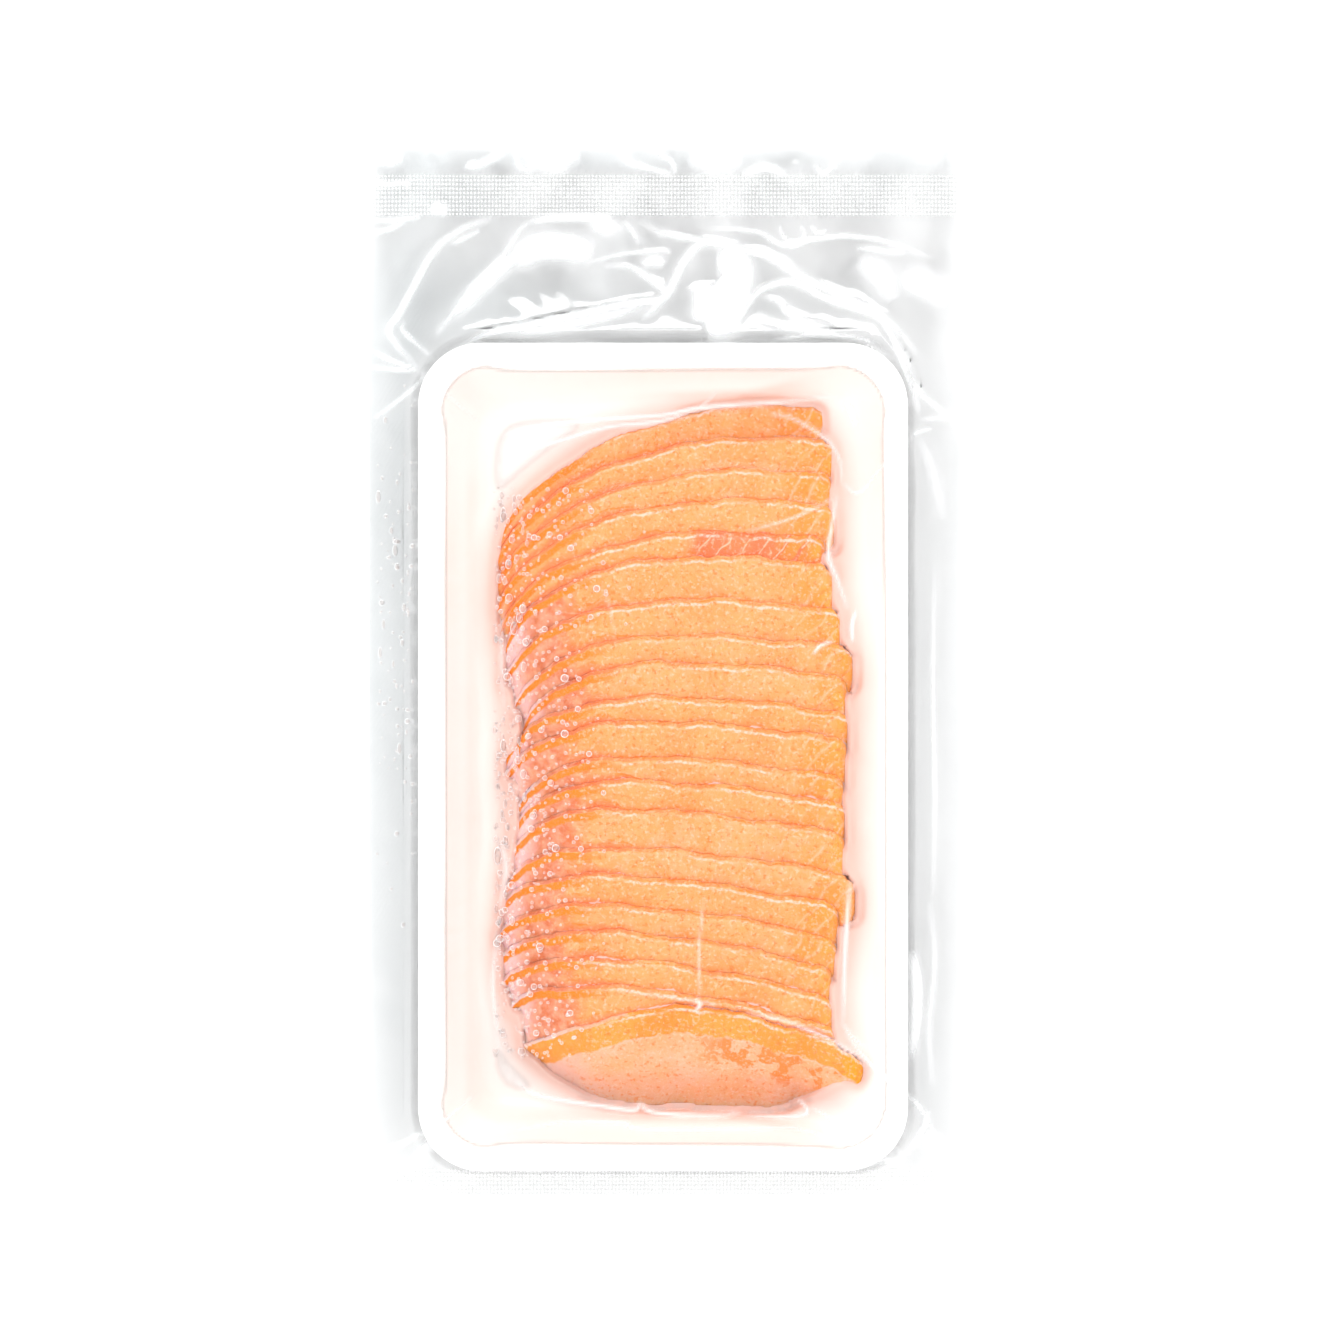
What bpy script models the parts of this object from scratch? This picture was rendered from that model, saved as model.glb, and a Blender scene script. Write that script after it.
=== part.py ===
"""A vacuum pack of sliced salmon trout, as one solid in metres, lying flat with +Z up.

The clear bag is sucked down on a foam tray and on the slices that lean on each other in it,
so the solid has the bag's outer form: a flat welded margin all round, the tray's rounded rim
and sloping walls, and the stepped row of slices. +X is across the pack and +Y points to the
end with the wide margin. The origin is under the middle of the bag, on its resting face.
Sizes are in millimetres and become metres where the points are made.
"""

import math

import bmesh
import bpy

MM = 0.001

# The bag, flat and welded on all four sides
BAG_WIDTH = 162.0
BAG_LENGTH = 287.0
BAG_CORNER = 1.5
WELDED_FILM = 0.35

# The foam tray inside it
TRAY_WIDTH = 133.0
TRAY_LENGTH = 225.0
TRAY_CORNER = 17.0
CORNER_SHRINK = 0.65
TRAY_CENTRE = (-0.8, -23.6)
RIM_HEIGHT = 25.0
FLOOR_HEIGHT = 4.0
BASE_INSET = 15.0

RIM_DROP = 4.6
FLOOR_FILLET = 1.5
WALL_FOOT = 12.0
RIM_INNER = 7.2

# The margin of film leaves the tray's side part way up and sinks towards the table
MARGIN_START = 2.5
MARGIN_ROOT = 13.0
MARGIN_LOW = 2.6
MARGIN_FADE = 18.0
MARGIN_LOOPS = (0.0, 0.16, 0.34, 0.55, 0.78, 1.0)
WAVE_HEIGHT = 1.5
WAVE_LENGTHS = (43.0, 27.0, 61.0)

# The slices: the width of each band that shows, from the first crest to the last one
BANDS = (9.6, 9.0, 8.3, 8.8, 6.7, 11.7, 9.8, 7.4, 9.4, 6.6, 9.6, 6.5, 7.6, 10.6, 7.4, 8.1,
         7.2, 7.4, 7.4, 5.2)
SLICES = len(BANDS) + 1
FIRST_CREST = 72.3
LEAST_BAND = 2.6

# Where each slice ends, at its thin left tip and its blunt right end
LEFT_TIPS = (-46.0, -47.0, -47.0, -46.8, -46.0, -44.6, -45.2, -42.4, -40.0, -44.9, -44.9,
             -41.4, -41.9, -42.7, -44.6, -45.7, -46.8, -45.7, -45.7, -43.0, -39.5)
RIGHT_ENDS = (43.5, 46.3, 45.4, 46.5, 43.5, 46.3, 48.4, 51.7, 49.5, 50.3, 49.5, 48.7, 49.5,
              49.2, 52.2, 47.3, 46.8, 45.4, 46.0, 46.8, 53.8)

# How far each slice's crest falls towards its ends, from the first slice to the one before last
FIRST_APEX, APEX_STEP, LEAST_APEX = 29.0, 3.3, -20.0
FIRST_LEFT_FALL, LAST_LEFT_FALL = 40.0, 8.0
FIRST_RIGHT_FALL, LAST_RIGHT_FALL = 1.0, 13.0
ROUNDNESS = 2.2

# The last slice lies on top, pointed at both ends
TOP_SLICE = {"apex": 9.3, "left_fall": 12.8, "right_fall": 15.0, "roundness": 1.4}

SLICE_THICKNESS = 4.0
SLICE_STEP = 3.6
STEP_RUN = 1.8
FACE_BULGE = 0.35
PILE_HEIGHT = 18.0
PILE_RISE = 3.5
TIP_HEIGHT = 2.4
TAPER_RUN = 22.0
BLUNT_RUN = 5.0
LAST_FACE_DEPTH = 27.5
LAST_FACE_LIP = 1.5
LAST_FACE_ROWS = 6

# The pile reaches this far into the tray's floor, so that the two are one solid
SUNK_EDGE, SUNK_BASE = 1.0, 1.6
PILE_SIDES = (-50.0, 54.2)
PILE_COLUMNS = 34

CORNER_STEPS, LONG_STEPS, SHORT_STEPS = 4, 18, 20


def clear_scene():
    for old in list(bpy.data.objects):
        bpy.data.objects.remove(old)


def outline(half_x, half_y, radius, centre):
    """Points of a rectangle with round corners, anticlockwise from the right-hand side."""
    sides = (
        (1, -1, (0, 1), 2 * (half_y - radius), LONG_STEPS, 0),
        (1, 1, (-1, 0), 2 * (half_x - radius), SHORT_STEPS, 90),
        (-1, 1, (0, -1), 2 * (half_y - radius), LONG_STEPS, 180),
        (-1, -1, (1, 0), 2 * (half_x - radius), SHORT_STEPS, 270),
    )
    points = []
    for sign_x, sign_y, along, length, steps, start in sides:
        corner_x = centre[0] + sign_x * (half_x - radius)
        corner_y = centre[1] + sign_y * (half_y - radius)
        for k in range(CORNER_STEPS):
            turn = math.radians(start - 90 + 90 * k / CORNER_STEPS)
            points.append((corner_x + radius * math.cos(turn), corner_y + radius * math.sin(turn)))
        turn = math.radians(start)
        edge_x = corner_x + radius * math.cos(turn)
        edge_y = corner_y + radius * math.sin(turn)
        for k in range(steps):
            share = length * k / steps
            points.append((edge_x + along[0] * share, edge_y + along[1] * share))
    return points


def tray_outline(inset):
    """The tray's plan, that far inside its outer edge, or outside it where inset is negative."""
    radius = TRAY_CORNER - CORNER_SHRINK * inset
    return outline(TRAY_WIDTH / 2 - inset, TRAY_LENGTH / 2 - inset, radius, TRAY_CENTRE)


def margin_outline(share):
    """A loop of the margin, from the tray's side at 0 to the bag's edge at 1."""
    inner = tray_outline(-MARGIN_START)
    outer = outline(BAG_WIDTH / 2, BAG_LENGTH / 2, BAG_CORNER, (0, 0))
    return [
        (a[0] + (b[0] - a[0]) * share, a[1] + (b[1] - a[1]) * share)
        for a, b in zip(inner, outer)
    ]


def distance_from_tray(x, y):
    """How far a point lies outside the tray's plan."""
    dx = abs(x - TRAY_CENTRE[0]) - (TRAY_WIDTH / 2 - TRAY_CORNER)
    dy = abs(y - TRAY_CENTRE[1]) - (TRAY_LENGTH / 2 - TRAY_CORNER)
    return math.hypot(max(dx, 0), max(dy, 0)) + min(max(dx, dy), 0) - TRAY_CORNER


def margin_height(x, y):
    """Top of the margin: it sinks away from the tray and ripples more the wider it is."""
    away = max(distance_from_tray(x, y) - MARGIN_START, 0)
    sink = MARGIN_LOW + (MARGIN_ROOT - MARGIN_LOW) * math.exp(-away / MARGIN_FADE)
    ripple = (
        math.sin(2 * math.pi * (x + 0.6 * y) / WAVE_LENGTHS[0])
        + math.sin(2 * math.pi * (x - 0.3 * y) / WAVE_LENGTHS[1] + 1.0)
        + math.sin(2 * math.pi * y / WAVE_LENGTHS[2] + 0.5)
    ) / len(WAVE_LENGTHS)
    return sink + WAVE_HEIGHT * ripple * min(away / MARGIN_FADE, 1)


def loop_of(points, height):
    """Points of one closed loop, at one height or at the height that a function gives."""
    if callable(height):
        return [(x, y, height(x, y)) for x, y in points]
    return [(x, y, height) for x, y in points]


def shell_loops():
    """The loops of the bag and tray from the middle of the floor over the rim, round the
    margin's edge and back under the tray to its base."""
    over = [
        (WALL_FOOT + FLOOR_FILLET, FLOOR_HEIGHT + 0.4 * FLOOR_FILLET),
        (WALL_FOOT, FLOOR_HEIGHT + 2 * FLOOR_FILLET),
        (RIM_INNER, RIM_HEIGHT - RIM_DROP),
        (0.78 * RIM_INNER, RIM_HEIGHT - 0.2 * RIM_DROP),
        (0.5 * RIM_INNER, RIM_HEIGHT),
        (0.2 * RIM_INNER, RIM_HEIGHT - 0.1 * RIM_DROP),
        (0.0, RIM_HEIGHT - 0.5 * RIM_DROP),
        (-0.2, RIM_HEIGHT - RIM_DROP),
    ]
    under = [
        (0.15 * BASE_INSET, 0.7 * MARGIN_ROOT),
        (BASE_INSET - 3.5, 1.6),
        (BASE_INSET - 1.0, 0.0),
    ]
    loops = [loop_of(tray_outline(inset), height) for inset, height in over]
    loops += [loop_of(margin_outline(share), margin_height) for share in MARGIN_LOOPS]
    loops += [
        loop_of(margin_outline(share), lambda x, y: margin_height(x, y) - WELDED_FILM)
        for share in reversed(MARGIN_LOOPS)
    ]
    loops += [loop_of(tray_outline(inset), height) for inset, height in under]
    return loops


def grow(bm, ring, points):
    """Extrudes a ring of vertices to the next loop and returns its new vertices in order."""
    edges = [bm.edges.get((a, b)) for a, b in zip(ring, ring[1:] + ring[:1])]
    made = bmesh.ops.extrude_edge_only(bm, edges=edges)["geom"]
    fresh = {v for v in made if isinstance(v, bmesh.types.BMVert)}
    following = []
    for old, point in zip(ring, points):
        new = next(e.other_vert(old) for e in old.link_edges if e.other_vert(old) in fresh)
        new.co = [value * MM for value in point]
        following.append(new)
    return following


def solid_from_loops(name, loops):
    """A closed solid lofted through loops of points, with flat ends."""
    bm = bmesh.new()
    ring = [bm.verts.new([value * MM for value in point]) for point in loops[0]]
    for a, b in zip(ring, ring[1:] + ring[:1]):
        bm.edges.new((a, b))
    bmesh.ops.contextual_create(bm, geom=ring)
    for points in loops[1:]:
        ring = grow(bm, ring, points)
    bmesh.ops.contextual_create(bm, geom=ring)
    return finished(name, bm)


def finished(name, bm):
    """The object of a bmesh, with its faces pointing out."""
    bmesh.ops.recalc_face_normals(bm, faces=bm.faces)
    if bm.calc_volume(signed=True) < 0:
        bmesh.ops.reverse_faces(bm, faces=bm.faces)
    mesh = bpy.data.meshes.new(name)
    bm.to_mesh(mesh)
    bm.free()
    made = bpy.data.objects.new(name, mesh)
    bpy.context.scene.collection.objects.link(made)
    return made


def slice_facts():
    """What sets each slice: where its crest lies, its two ends, and how it falls to them."""
    facts = []
    for number in range(SLICES):
        late = number / (SLICES - 1)
        left_change = (LAST_LEFT_FALL - FIRST_LEFT_FALL) * (1 - (1 - late) ** 1.3)
        facts.append({
            "crest": FIRST_CREST - sum(BANDS[:number]),
            "apex": max(FIRST_APEX - APEX_STEP * number, LEAST_APEX),
            "left": LEFT_TIPS[number],
            "right": RIGHT_ENDS[number],
            "left_fall": FIRST_LEFT_FALL + left_change,
            "right_fall": FIRST_RIGHT_FALL + (LAST_RIGHT_FALL - FIRST_RIGHT_FALL) * late**1.5,
            "height": PILE_HEIGHT - (PILE_HEIGHT - SLICE_THICKNESS) * math.exp(-number / PILE_RISE),
            "roundness": ROUNDNESS,
        })
    facts[-1].update(TOP_SLICE)
    return facts


def crest_y(fact, x):
    """Where a slice's crest lies at x: level in the middle, and falling to both ends."""
    if x < fact["apex"]:
        t = min((fact["apex"] - x) / (fact["apex"] - fact["left"]), 1)
        power = fact["roundness"]
        return fact["crest"] - fact["left_fall"] * (1 - (1 - t**power) ** (1 / power))
    t = min((x - fact["apex"]) / (fact["right"] - fact["apex"]), 1)
    return fact["crest"] - fact["right_fall"] * t**1.7


def crest_z(fact, x):
    """How high a slice's crest is at x: it thins to the left tip and is blunt on the right."""
    if not fact["left"] < x < fact["right"]:
        return FLOOR_HEIGHT - SUNK_EDGE
    taper = math.sin(min((x - fact["left"]) / TAPER_RUN, 1) * math.pi / 2)
    blunt = math.sqrt(1 - max(1 - (fact["right"] - x) / BLUNT_RUN, 0) ** 2)
    return FLOOR_HEIGHT + (TIP_HEIGHT + (fact["height"] - TIP_HEIGHT) * taper) * blunt


def pile_column(facts, x):
    """The points over the row of slices at one x, from its far end to its near one: each
    crest, the fall of its face, and the crease at the foot of the next slice's cut edge."""
    floor = FLOOR_HEIGHT - SUNK_EDGE
    crests = []
    for fact in facts:
        y = crest_y(fact, x)
        if crests:
            y = min(y, crests[-1][0] - LEAST_BAND)
        crests.append((y, crest_z(fact, x)))
    points = [(crests[0][0] + STEP_RUN, floor)]
    for (y, z), (next_y, next_z) in zip(crests, crests[1:]):
        crease_y = next_y + min(STEP_RUN, 0.4 * (y - next_y))
        crease_z = max(min(next_z - SLICE_STEP, z - 0.2), floor)
        middle = ((y + crease_y) / 2, (z + crease_z) / 2 + FACE_BULGE)
        points += [(y, z), middle, (crease_y, crease_z)]
    return [(x, y, z) for y, z in points + last_face(facts[-1], crests[-1], x)]


def last_face(fact, crest, x):
    """The whole face of the last slice at one x, which slopes down to the tray's floor."""
    y, z = crest
    floor = FLOOR_HEIGHT - SUNK_EDGE
    middle = (fact["left"] + fact["right"]) / 2
    across = min(abs(x - middle) / (fact["right"] - middle), 1)
    depth = max(LAST_FACE_DEPTH * (1 - across**2.5), LAST_FACE_LIP)
    shares = [k / LAST_FACE_ROWS for k in range(LAST_FACE_ROWS + 1)]
    return [(y - depth * share, z + (floor - z) * share**1.4) for share in shares]


def pile():
    """The row of slices as one closed solid that reaches just into the tray's floor."""
    facts = slice_facts()
    low, high = PILE_SIDES
    columns = []
    for k in range(PILE_COLUMNS):
        even = k / (PILE_COLUMNS - 1)
        share = (even + 0.5 - 0.5 * math.cos(math.pi * even)) / 2
        columns.append(pile_column(facts, low + (high - low) * share))
    rows = len(columns[0])
    bm = bmesh.new()
    bmesh.ops.create_grid(bm, x_segments=PILE_COLUMNS - 1, y_segments=rows - 1, size=0.5)
    ordered = sorted(bm.verts, key=lambda v: (round(v.co.x, 5), -round(v.co.y, 5)))
    points = [point for column in columns for point in column]
    for vertex, point in zip(ordered, points):
        vertex.co = [value * MM for value in point]
    rim = [e for e in bm.edges if e.is_boundary]
    made = bmesh.ops.extrude_edge_only(bm, edges=rim)["geom"]
    for vertex in made:
        if isinstance(vertex, bmesh.types.BMVert):
            vertex.co.z = (FLOOR_HEIGHT - SUNK_BASE) * MM
    bmesh.ops.holes_fill(bm, edges=[e for e in bm.edges if e.is_boundary])
    bmesh.ops.triangulate(bm, faces=bm.faces)
    return finished("pile_of_slices", bm)


def clear_film():
    """The bag's material: clear, faintly blue-grey film."""
    material = bpy.data.materials.new("vacuum_film")
    material.use_nodes = True
    shader = material.node_tree.nodes["Principled BSDF"]
    shader.inputs["Base Color"].default_value = (0.86, 0.84, 0.82, 1)
    shader.inputs["Roughness"].default_value = 0.12
    shader.inputs["Metallic"].default_value = 0.0
    return material


def join(target, other):
    """Fuses another solid into the target and removes what it came from."""
    fuse = target.modifiers.new("fuse", "BOOLEAN")
    fuse.operation = "UNION"
    fuse.solver = "EXACT"
    fuse.object = other
    graph = bpy.context.evaluated_depsgraph_get()
    whole = bpy.data.meshes.new_from_object(target.evaluated_get(graph))
    target.modifiers.clear()
    target.data = whole
    bpy.data.objects.remove(other)


def main():
    clear_scene()
    pack = solid_from_loops("vacuum_bag", shell_loops())
    join(pack, pile())
    pack.data.materials.clear()
    pack.data.materials.append(clear_film())


main()
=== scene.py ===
"""The looks of a vacuum pack of sliced salmon trout: clear film, foam tray, slices, juice and dew.

It is laid out as an add-on, and its panel builds each piece from its own sizes and colours.
Lengths inside the functions are millimetres, and a mesh gets metres when its points are placed.
"""
import functools
import math

import bmesh
import bpy
import numpy as np
from bpy.props import FloatProperty, FloatVectorProperty, IntProperty, PointerProperty
from mathutils import Matrix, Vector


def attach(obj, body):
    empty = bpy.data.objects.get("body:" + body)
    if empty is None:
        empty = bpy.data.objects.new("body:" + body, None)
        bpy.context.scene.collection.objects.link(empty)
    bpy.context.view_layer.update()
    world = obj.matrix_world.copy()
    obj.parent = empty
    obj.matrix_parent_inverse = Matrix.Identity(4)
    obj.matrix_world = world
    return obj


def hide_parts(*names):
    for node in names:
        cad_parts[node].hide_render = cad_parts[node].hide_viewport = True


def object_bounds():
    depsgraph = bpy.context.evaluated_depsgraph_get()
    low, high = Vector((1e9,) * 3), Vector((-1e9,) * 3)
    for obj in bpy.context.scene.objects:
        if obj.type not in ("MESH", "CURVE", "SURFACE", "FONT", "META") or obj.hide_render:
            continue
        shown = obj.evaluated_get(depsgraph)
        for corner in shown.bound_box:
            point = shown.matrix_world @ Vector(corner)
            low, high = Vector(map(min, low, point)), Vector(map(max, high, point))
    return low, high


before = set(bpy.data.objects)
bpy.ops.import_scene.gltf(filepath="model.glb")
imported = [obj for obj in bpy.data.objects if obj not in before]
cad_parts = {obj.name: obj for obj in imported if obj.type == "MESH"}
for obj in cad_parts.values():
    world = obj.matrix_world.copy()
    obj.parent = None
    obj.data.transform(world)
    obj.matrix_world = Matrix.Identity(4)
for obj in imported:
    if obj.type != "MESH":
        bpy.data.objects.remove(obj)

bl_info = {
    "name": "Vacuum pack of sliced trout",
    "version": (1, 0, 0),
    "blender": (4, 5, 0),
    "location": "3D View > Sidebar > Trout pack",
    "description": "Builds the film, tray, slices, juice and dew of a vacuum-packed tray of sliced trout",
    "category": "Add Mesh",
}

MM = 0.001
NODE = "vacuum_bag"
CAD_LOW, CAD_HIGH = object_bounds()

# The photograph, seen straight from above: pixels of its square frame, and the pack's middle in it
FRAME_PIXELS = 1333
PIXEL = 0.2721
MIDDLE = (666.0, 670.0)

# The tray, with its profile from the outer edge inwards: how far in, and how high
TRAY_CENTRE = (-0.8, -23.6)
TRAY_CORNER = 17.0
CORNER_SHRINK = 0.65
TRAY_INSETS = (-0.2, 0.0, 1.44, 3.6, 5.6, 7.2, 12.0, 13.5, 18.0)
TRAY_HEIGHTS = (20.4, 22.7, 24.54, 25.0, 24.1, 20.4, 7.0, 4.6, 4.0)
TRAY_UNDER = ((-0.1, 20.2), (0.9, 18.6), (3.2, 17.2), (12.0, 2.4), (13.6, 0.9), (15.5, 0.45))

# The margin of the bag, sinking away from the tray
MARGIN_START = 2.5
MARGIN_ROOT, MARGIN_LOW, MARGIN_FADE = 13.0, 2.6, 18.0
WAVE_HEIGHT = 1.5
WAVE_LENGTHS = (43.0, 27.0, 61.0)
TOP_SEAL = (124.6, 135.5)
FOOT_SEAL = (-143.5, -136.2)
FILM_GRID = (226, 400)
FILM_CLEARANCE = 0.12
FILM_THICKNESS = 0.25
# the lower film's height at each inset: it hangs from the rim and lies flat under the tray
LOWER_INSETS, LOWER_HEIGHTS = (-2.5, 2.25, 11.5, 14.0), (12.6, 9.1, 1.5, 0.05)

# The slices: the width of each band that shows, from the first crest to the last one
BANDS = (9.6, 9.0, 8.3, 8.8, 6.7, 11.7, 9.8, 7.4, 9.4, 6.6, 9.6, 6.5, 7.6, 10.6, 7.4, 8.1,
         7.2, 7.4, 7.4, 5.2)
SLICES = len(BANDS) + 1
FIRST_CREST = 72.3
LEAST_BAND = 2.6
# A face falls no further than this where the next slice doesn't reach
LEAST_DROP = 2.8
LEFT_TIPS = (-46.0, -47.0, -47.0, -46.8, -46.0, -44.6, -45.2, -42.4, -40.0, -44.9, -44.9,
             -41.4, -41.9, -42.7, -44.6, -45.7, -46.8, -45.7, -45.7, -43.0, -39.5)
RIGHT_ENDS = (43.5, 46.3, 45.4, 46.5, 43.5, 46.3, 48.4, 51.7, 49.5, 50.3, 49.5, 48.7, 49.5,
              49.2, 52.2, 47.3, 46.8, 45.4, 46.0, 46.8, 54.8)
FIRST_APEX, APEX_STEP, LEAST_APEX = 29.0, 3.3, -20.0
FIRST_LEFT_FALL, LAST_LEFT_FALL = 40.0, 8.0
FIRST_RIGHT_FALL, LAST_RIGHT_FALL = 1.0, 13.0
FIRST_ROUNDNESS, LAST_ROUNDNESS = 1.75, 2.3
TOP_SLICE = {"apex": 9.3, "left_fall": 12.8, "right_fall": 15.2, "roundness": 1.4, "end_round": 1.0}
SLICE_THICKNESS, SLICE_STEP, STEP_RUN, FACE_BULGE = 4.0, 1.7, 1.3, 0.3
PILE_RISE, TIP_HEIGHT, TAPER_RUN, BLUNT_RUN, END_ROUND = 3.5, 2.4, 22.0, 4.0, 3.0
LAST_FACE_DEPTH, LAST_FACE_LIP, LAST_FACE_NOSE = 27.5, 1.5, 8.2
HIDDEN_SLOPE = 0.55
SLICE_COLUMNS = 150
FACE_ROWS = 12
# The raggedness of a crest and the unevenness of its height: how much, seed and length
CREST_RIPPLES = ((0.5, 0, 34), (0.15, 100, 5), (0.09, 150, 1.9))
HEIGHT_RIPPLES = ((0.35, 200, 26), (0.1, 300, 4))
# The fifth slice shows a whole wet face between these two places across the pack
WET_SLICE, WET_FROM, WET_TO = 4, 8.0, 43.0

# The juice: how many grid steps it reaches round the slices, where it starts inside the tray,
# and how far it stands under the slices' edge, their faces and the notches between them
JUICE_REACH = 3
JUICE_INSET = 5.4
UNDER_EDGE, UNDER_FACE, UNDER_NOTCH = 0.3, 0.45, 1.6

# The drops: the share that lies over the slices, and the least, mean extra and largest radius
DEW_ON_SLICES = 0.9
DEW_LEAST, DEW_EXTRA, DEW_MOST = 0.28, 0.17, 1.1


# ---- Sizes and colours that a user would change ----

class PackSizes(bpy.types.PropertyGroup):
    """Sizes of the pack's pieces."""

    bag_width: FloatProperty(
        name="Bag width", description="Width of the bag over its side welds",
        default=CAD_HIGH.x - CAD_LOW.x, unit="LENGTH")
    bag_length: FloatProperty(
        name="Bag length", description="Length of the bag over its end seals",
        default=CAD_HIGH.y - CAD_LOW.y, unit="LENGTH")
    tray_width: FloatProperty(
        name="Tray width", description="Width of the foam tray over its rim",
        default=0.133, unit="LENGTH")
    tray_length: FloatProperty(
        name="Tray length", description="Length of the foam tray over its rim",
        default=0.225, unit="LENGTH")
    pile_height: FloatProperty(
        name="Pile height", description="Height of the leaning slices above the tray's floor",
        default=0.018, unit="LENGTH")
    film_bend: FloatProperty(
        name="Film bend", description="Radius of the film where it bridges an inner corner",
        default=0.006, unit="LENGTH")
    dew_drops: IntProperty(
        name="Dew drops", description="Number of drops of condensation under the film", default=1000)


class PackColours(bpy.types.PropertyGroup):
    """Colours of the pack's pieces."""

    foam: FloatVectorProperty(
        name="Foam", description="Colour of the foam tray", subtype="COLOR", size=3,
        default=(0.95, 0.95, 0.945))
    flesh_light: FloatVectorProperty(
        name="Light flesh", description="Pale peach of the cut faces", subtype="COLOR", size=3,
        default=(0.90, 0.465, 0.14))
    flesh_deep: FloatVectorProperty(
        name="Deep flesh", description="Wet orange of the creases and tips", subtype="COLOR", size=3,
        default=(0.93, 0.30, 0.03))
    film: FloatVectorProperty(
        name="Film", description="What the welded margin's film lets through", subtype="COLOR", size=3,
        default=(0.83, 0.85, 0.855))


class StudioSettings(bpy.types.PropertyGroup):
    """The studio round the pack."""

    dome: FloatProperty(name="Dome", description="Strength of the even light all round", default=1.32)
    softbox: FloatProperty(name="Softboxes", description="Strength of the softboxes", default=1.0)
    camera_height: FloatProperty(
        name="Camera height", description="Height of the camera over the pack", default=2.4,
        unit="LENGTH")


# ---- Small helpers ----

def linear(code):
    """The linear RGB of an sRGB colour such as "#FDC896"."""
    parts = [int(code[k:k + 2], 16) / 255 for k in (1, 3, 5)]
    return [c / 12.92 if c <= 0.04045 else ((c + 0.055) / 1.055) ** 2.4 for c in parts]


def at(px, py):
    """The place on the pack, in mm, of a pixel of the photograph."""
    return (px - MIDDLE[0]) * PIXEL, (MIDDLE[1] - py) * PIXEL


def ripple(along, seed, length):
    """A smooth random line about one unit high that changes over that length."""
    draw = np.random.default_rng(seed)
    total = np.zeros_like(np.asarray(along, float))
    for finer, share in ((1.0, 1.0), (1.9, 0.6), (3.3, 0.35), (5.6, 0.2)):
        phase, stretch = draw.uniform(0, 2 * math.pi), draw.uniform(0.8, 1.25)
        total = total + share * np.sin(2 * math.pi * along * finer * stretch / length + phase)
    return total / 1.4


def smooth_step(low, high, value):
    """0 at low, 1 at high, and a smooth change between them."""
    t = np.clip((value - low) / (high - low), 0, 1)
    return t * t * (3 - 2 * t)


def gathered(name, bm):
    """The object of a bmesh, shaded smooth."""
    mesh = bpy.data.meshes.new(name)
    bm.to_mesh(mesh)
    bm.free()
    mesh.shade_smooth()
    piece = bpy.data.objects.new(name, mesh)
    bpy.context.scene.collection.objects.link(piece)
    return piece


def grid_piece(name, places, values=None, closed=False):
    """A piece from an operator's grid, whose points take places in mm, in rows and columns.
    values are numbers for each point that the materials read. A closed one is a tube whose
    first and last columns meet, with its two open ends filled."""
    rows, columns = places.shape[:2]
    bm = bmesh.new()
    bmesh.ops.create_grid(bm, x_segments=columns - 1, y_segments=rows - 1, size=0.5)
    mesh = bpy.data.meshes.new(name)
    bm.to_mesh(mesh)
    bm.free()
    co = np.empty(len(mesh.vertices) * 3)
    mesh.vertices.foreach_get("co", co)
    co = co.reshape(-1, 3)
    order = np.lexsort((co[:, 0].round(5), co[:, 1].round(5)))
    placed = np.empty_like(co)
    placed[order] = places.reshape(-1, 3) * MM
    mesh.vertices.foreach_set("co", placed.ravel())
    for label, value in (values or {}).items():
        spread = np.empty(len(co))
        spread[order] = np.broadcast_to(value, (rows, columns)).ravel()
        mesh.attributes.new(label, "FLOAT", "POINT").data.foreach_set("value", spread)
    bm = bmesh.new()
    bm.from_mesh(mesh)
    bpy.data.meshes.remove(mesh)
    if closed:
        bmesh.ops.remove_doubles(bm, verts=bm.verts, dist=0.002 * MM)
        bmesh.ops.holes_fill(bm, edges=[e for e in bm.edges if e.is_boundary])
        bmesh.ops.recalc_face_normals(bm, faces=bm.faces)
        if bm.calc_volume(signed=True) < 0:
            bmesh.ops.reverse_faces(bm, faces=bm.faces)
    return gathered(name, bm)


def place_piece(piece, material):
    """Gives a piece its material and says what it stands for."""
    piece.data.materials.clear()
    piece.data.materials.append(material)
    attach(piece, "root")
    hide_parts(NODE)


def add_node(tree, kind, inputs=None, **settings):
    """Adds a node with its settings, and sets or links its inputs, by name or by number."""
    made = tree.nodes.new(kind)
    for key, value in settings.items():
        setattr(made, key, value)
    for key, value in (inputs or {}).items():
        if isinstance(value, bpy.types.NodeSocket):
            tree.links.new(value, made.inputs[key])
        else:
            made.inputs[key].default_value = value
    return made


def new_material(name):
    """An empty material with its output node."""
    material = bpy.data.materials.new(name)
    material.use_nodes = True
    tree = material.node_tree
    tree.nodes.clear()
    return material, tree, tree.nodes.new("ShaderNodeOutputMaterial")


def mixed(tree, factor, first, second, blend="MIX"):
    """The mix of two colours, given as sockets or as linear RGB."""
    first, second = [
        c if isinstance(c, bpy.types.NodeSocket) else (*c, 1) for c in (first, second)]
    made = add_node(tree, "ShaderNodeMix", {0: factor, 6: first, 7: second},
                    data_type="RGBA", blend_type=blend, clamp_factor=True)
    return made.outputs[2]


def ranged(tree, value, low, high, to_low=0.0, to_high=1.0):
    """A number carried smoothly from one range to another."""
    made = add_node(
        tree, "ShaderNodeMapRange", {0: value, 1: low, 2: high, 3: to_low, 4: to_high},
        interpolation_type="SMOOTHSTEP")
    return made.outputs[0]


def reckoned(tree, operation, first, second=0.5):
    """The result of one sum, product or other operation on two numbers."""
    return add_node(tree, "ShaderNodeMath", {0: first, 1: second}, operation=operation).outputs[0]


# ---- Forms that the film, the tray and the slices share ----

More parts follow.
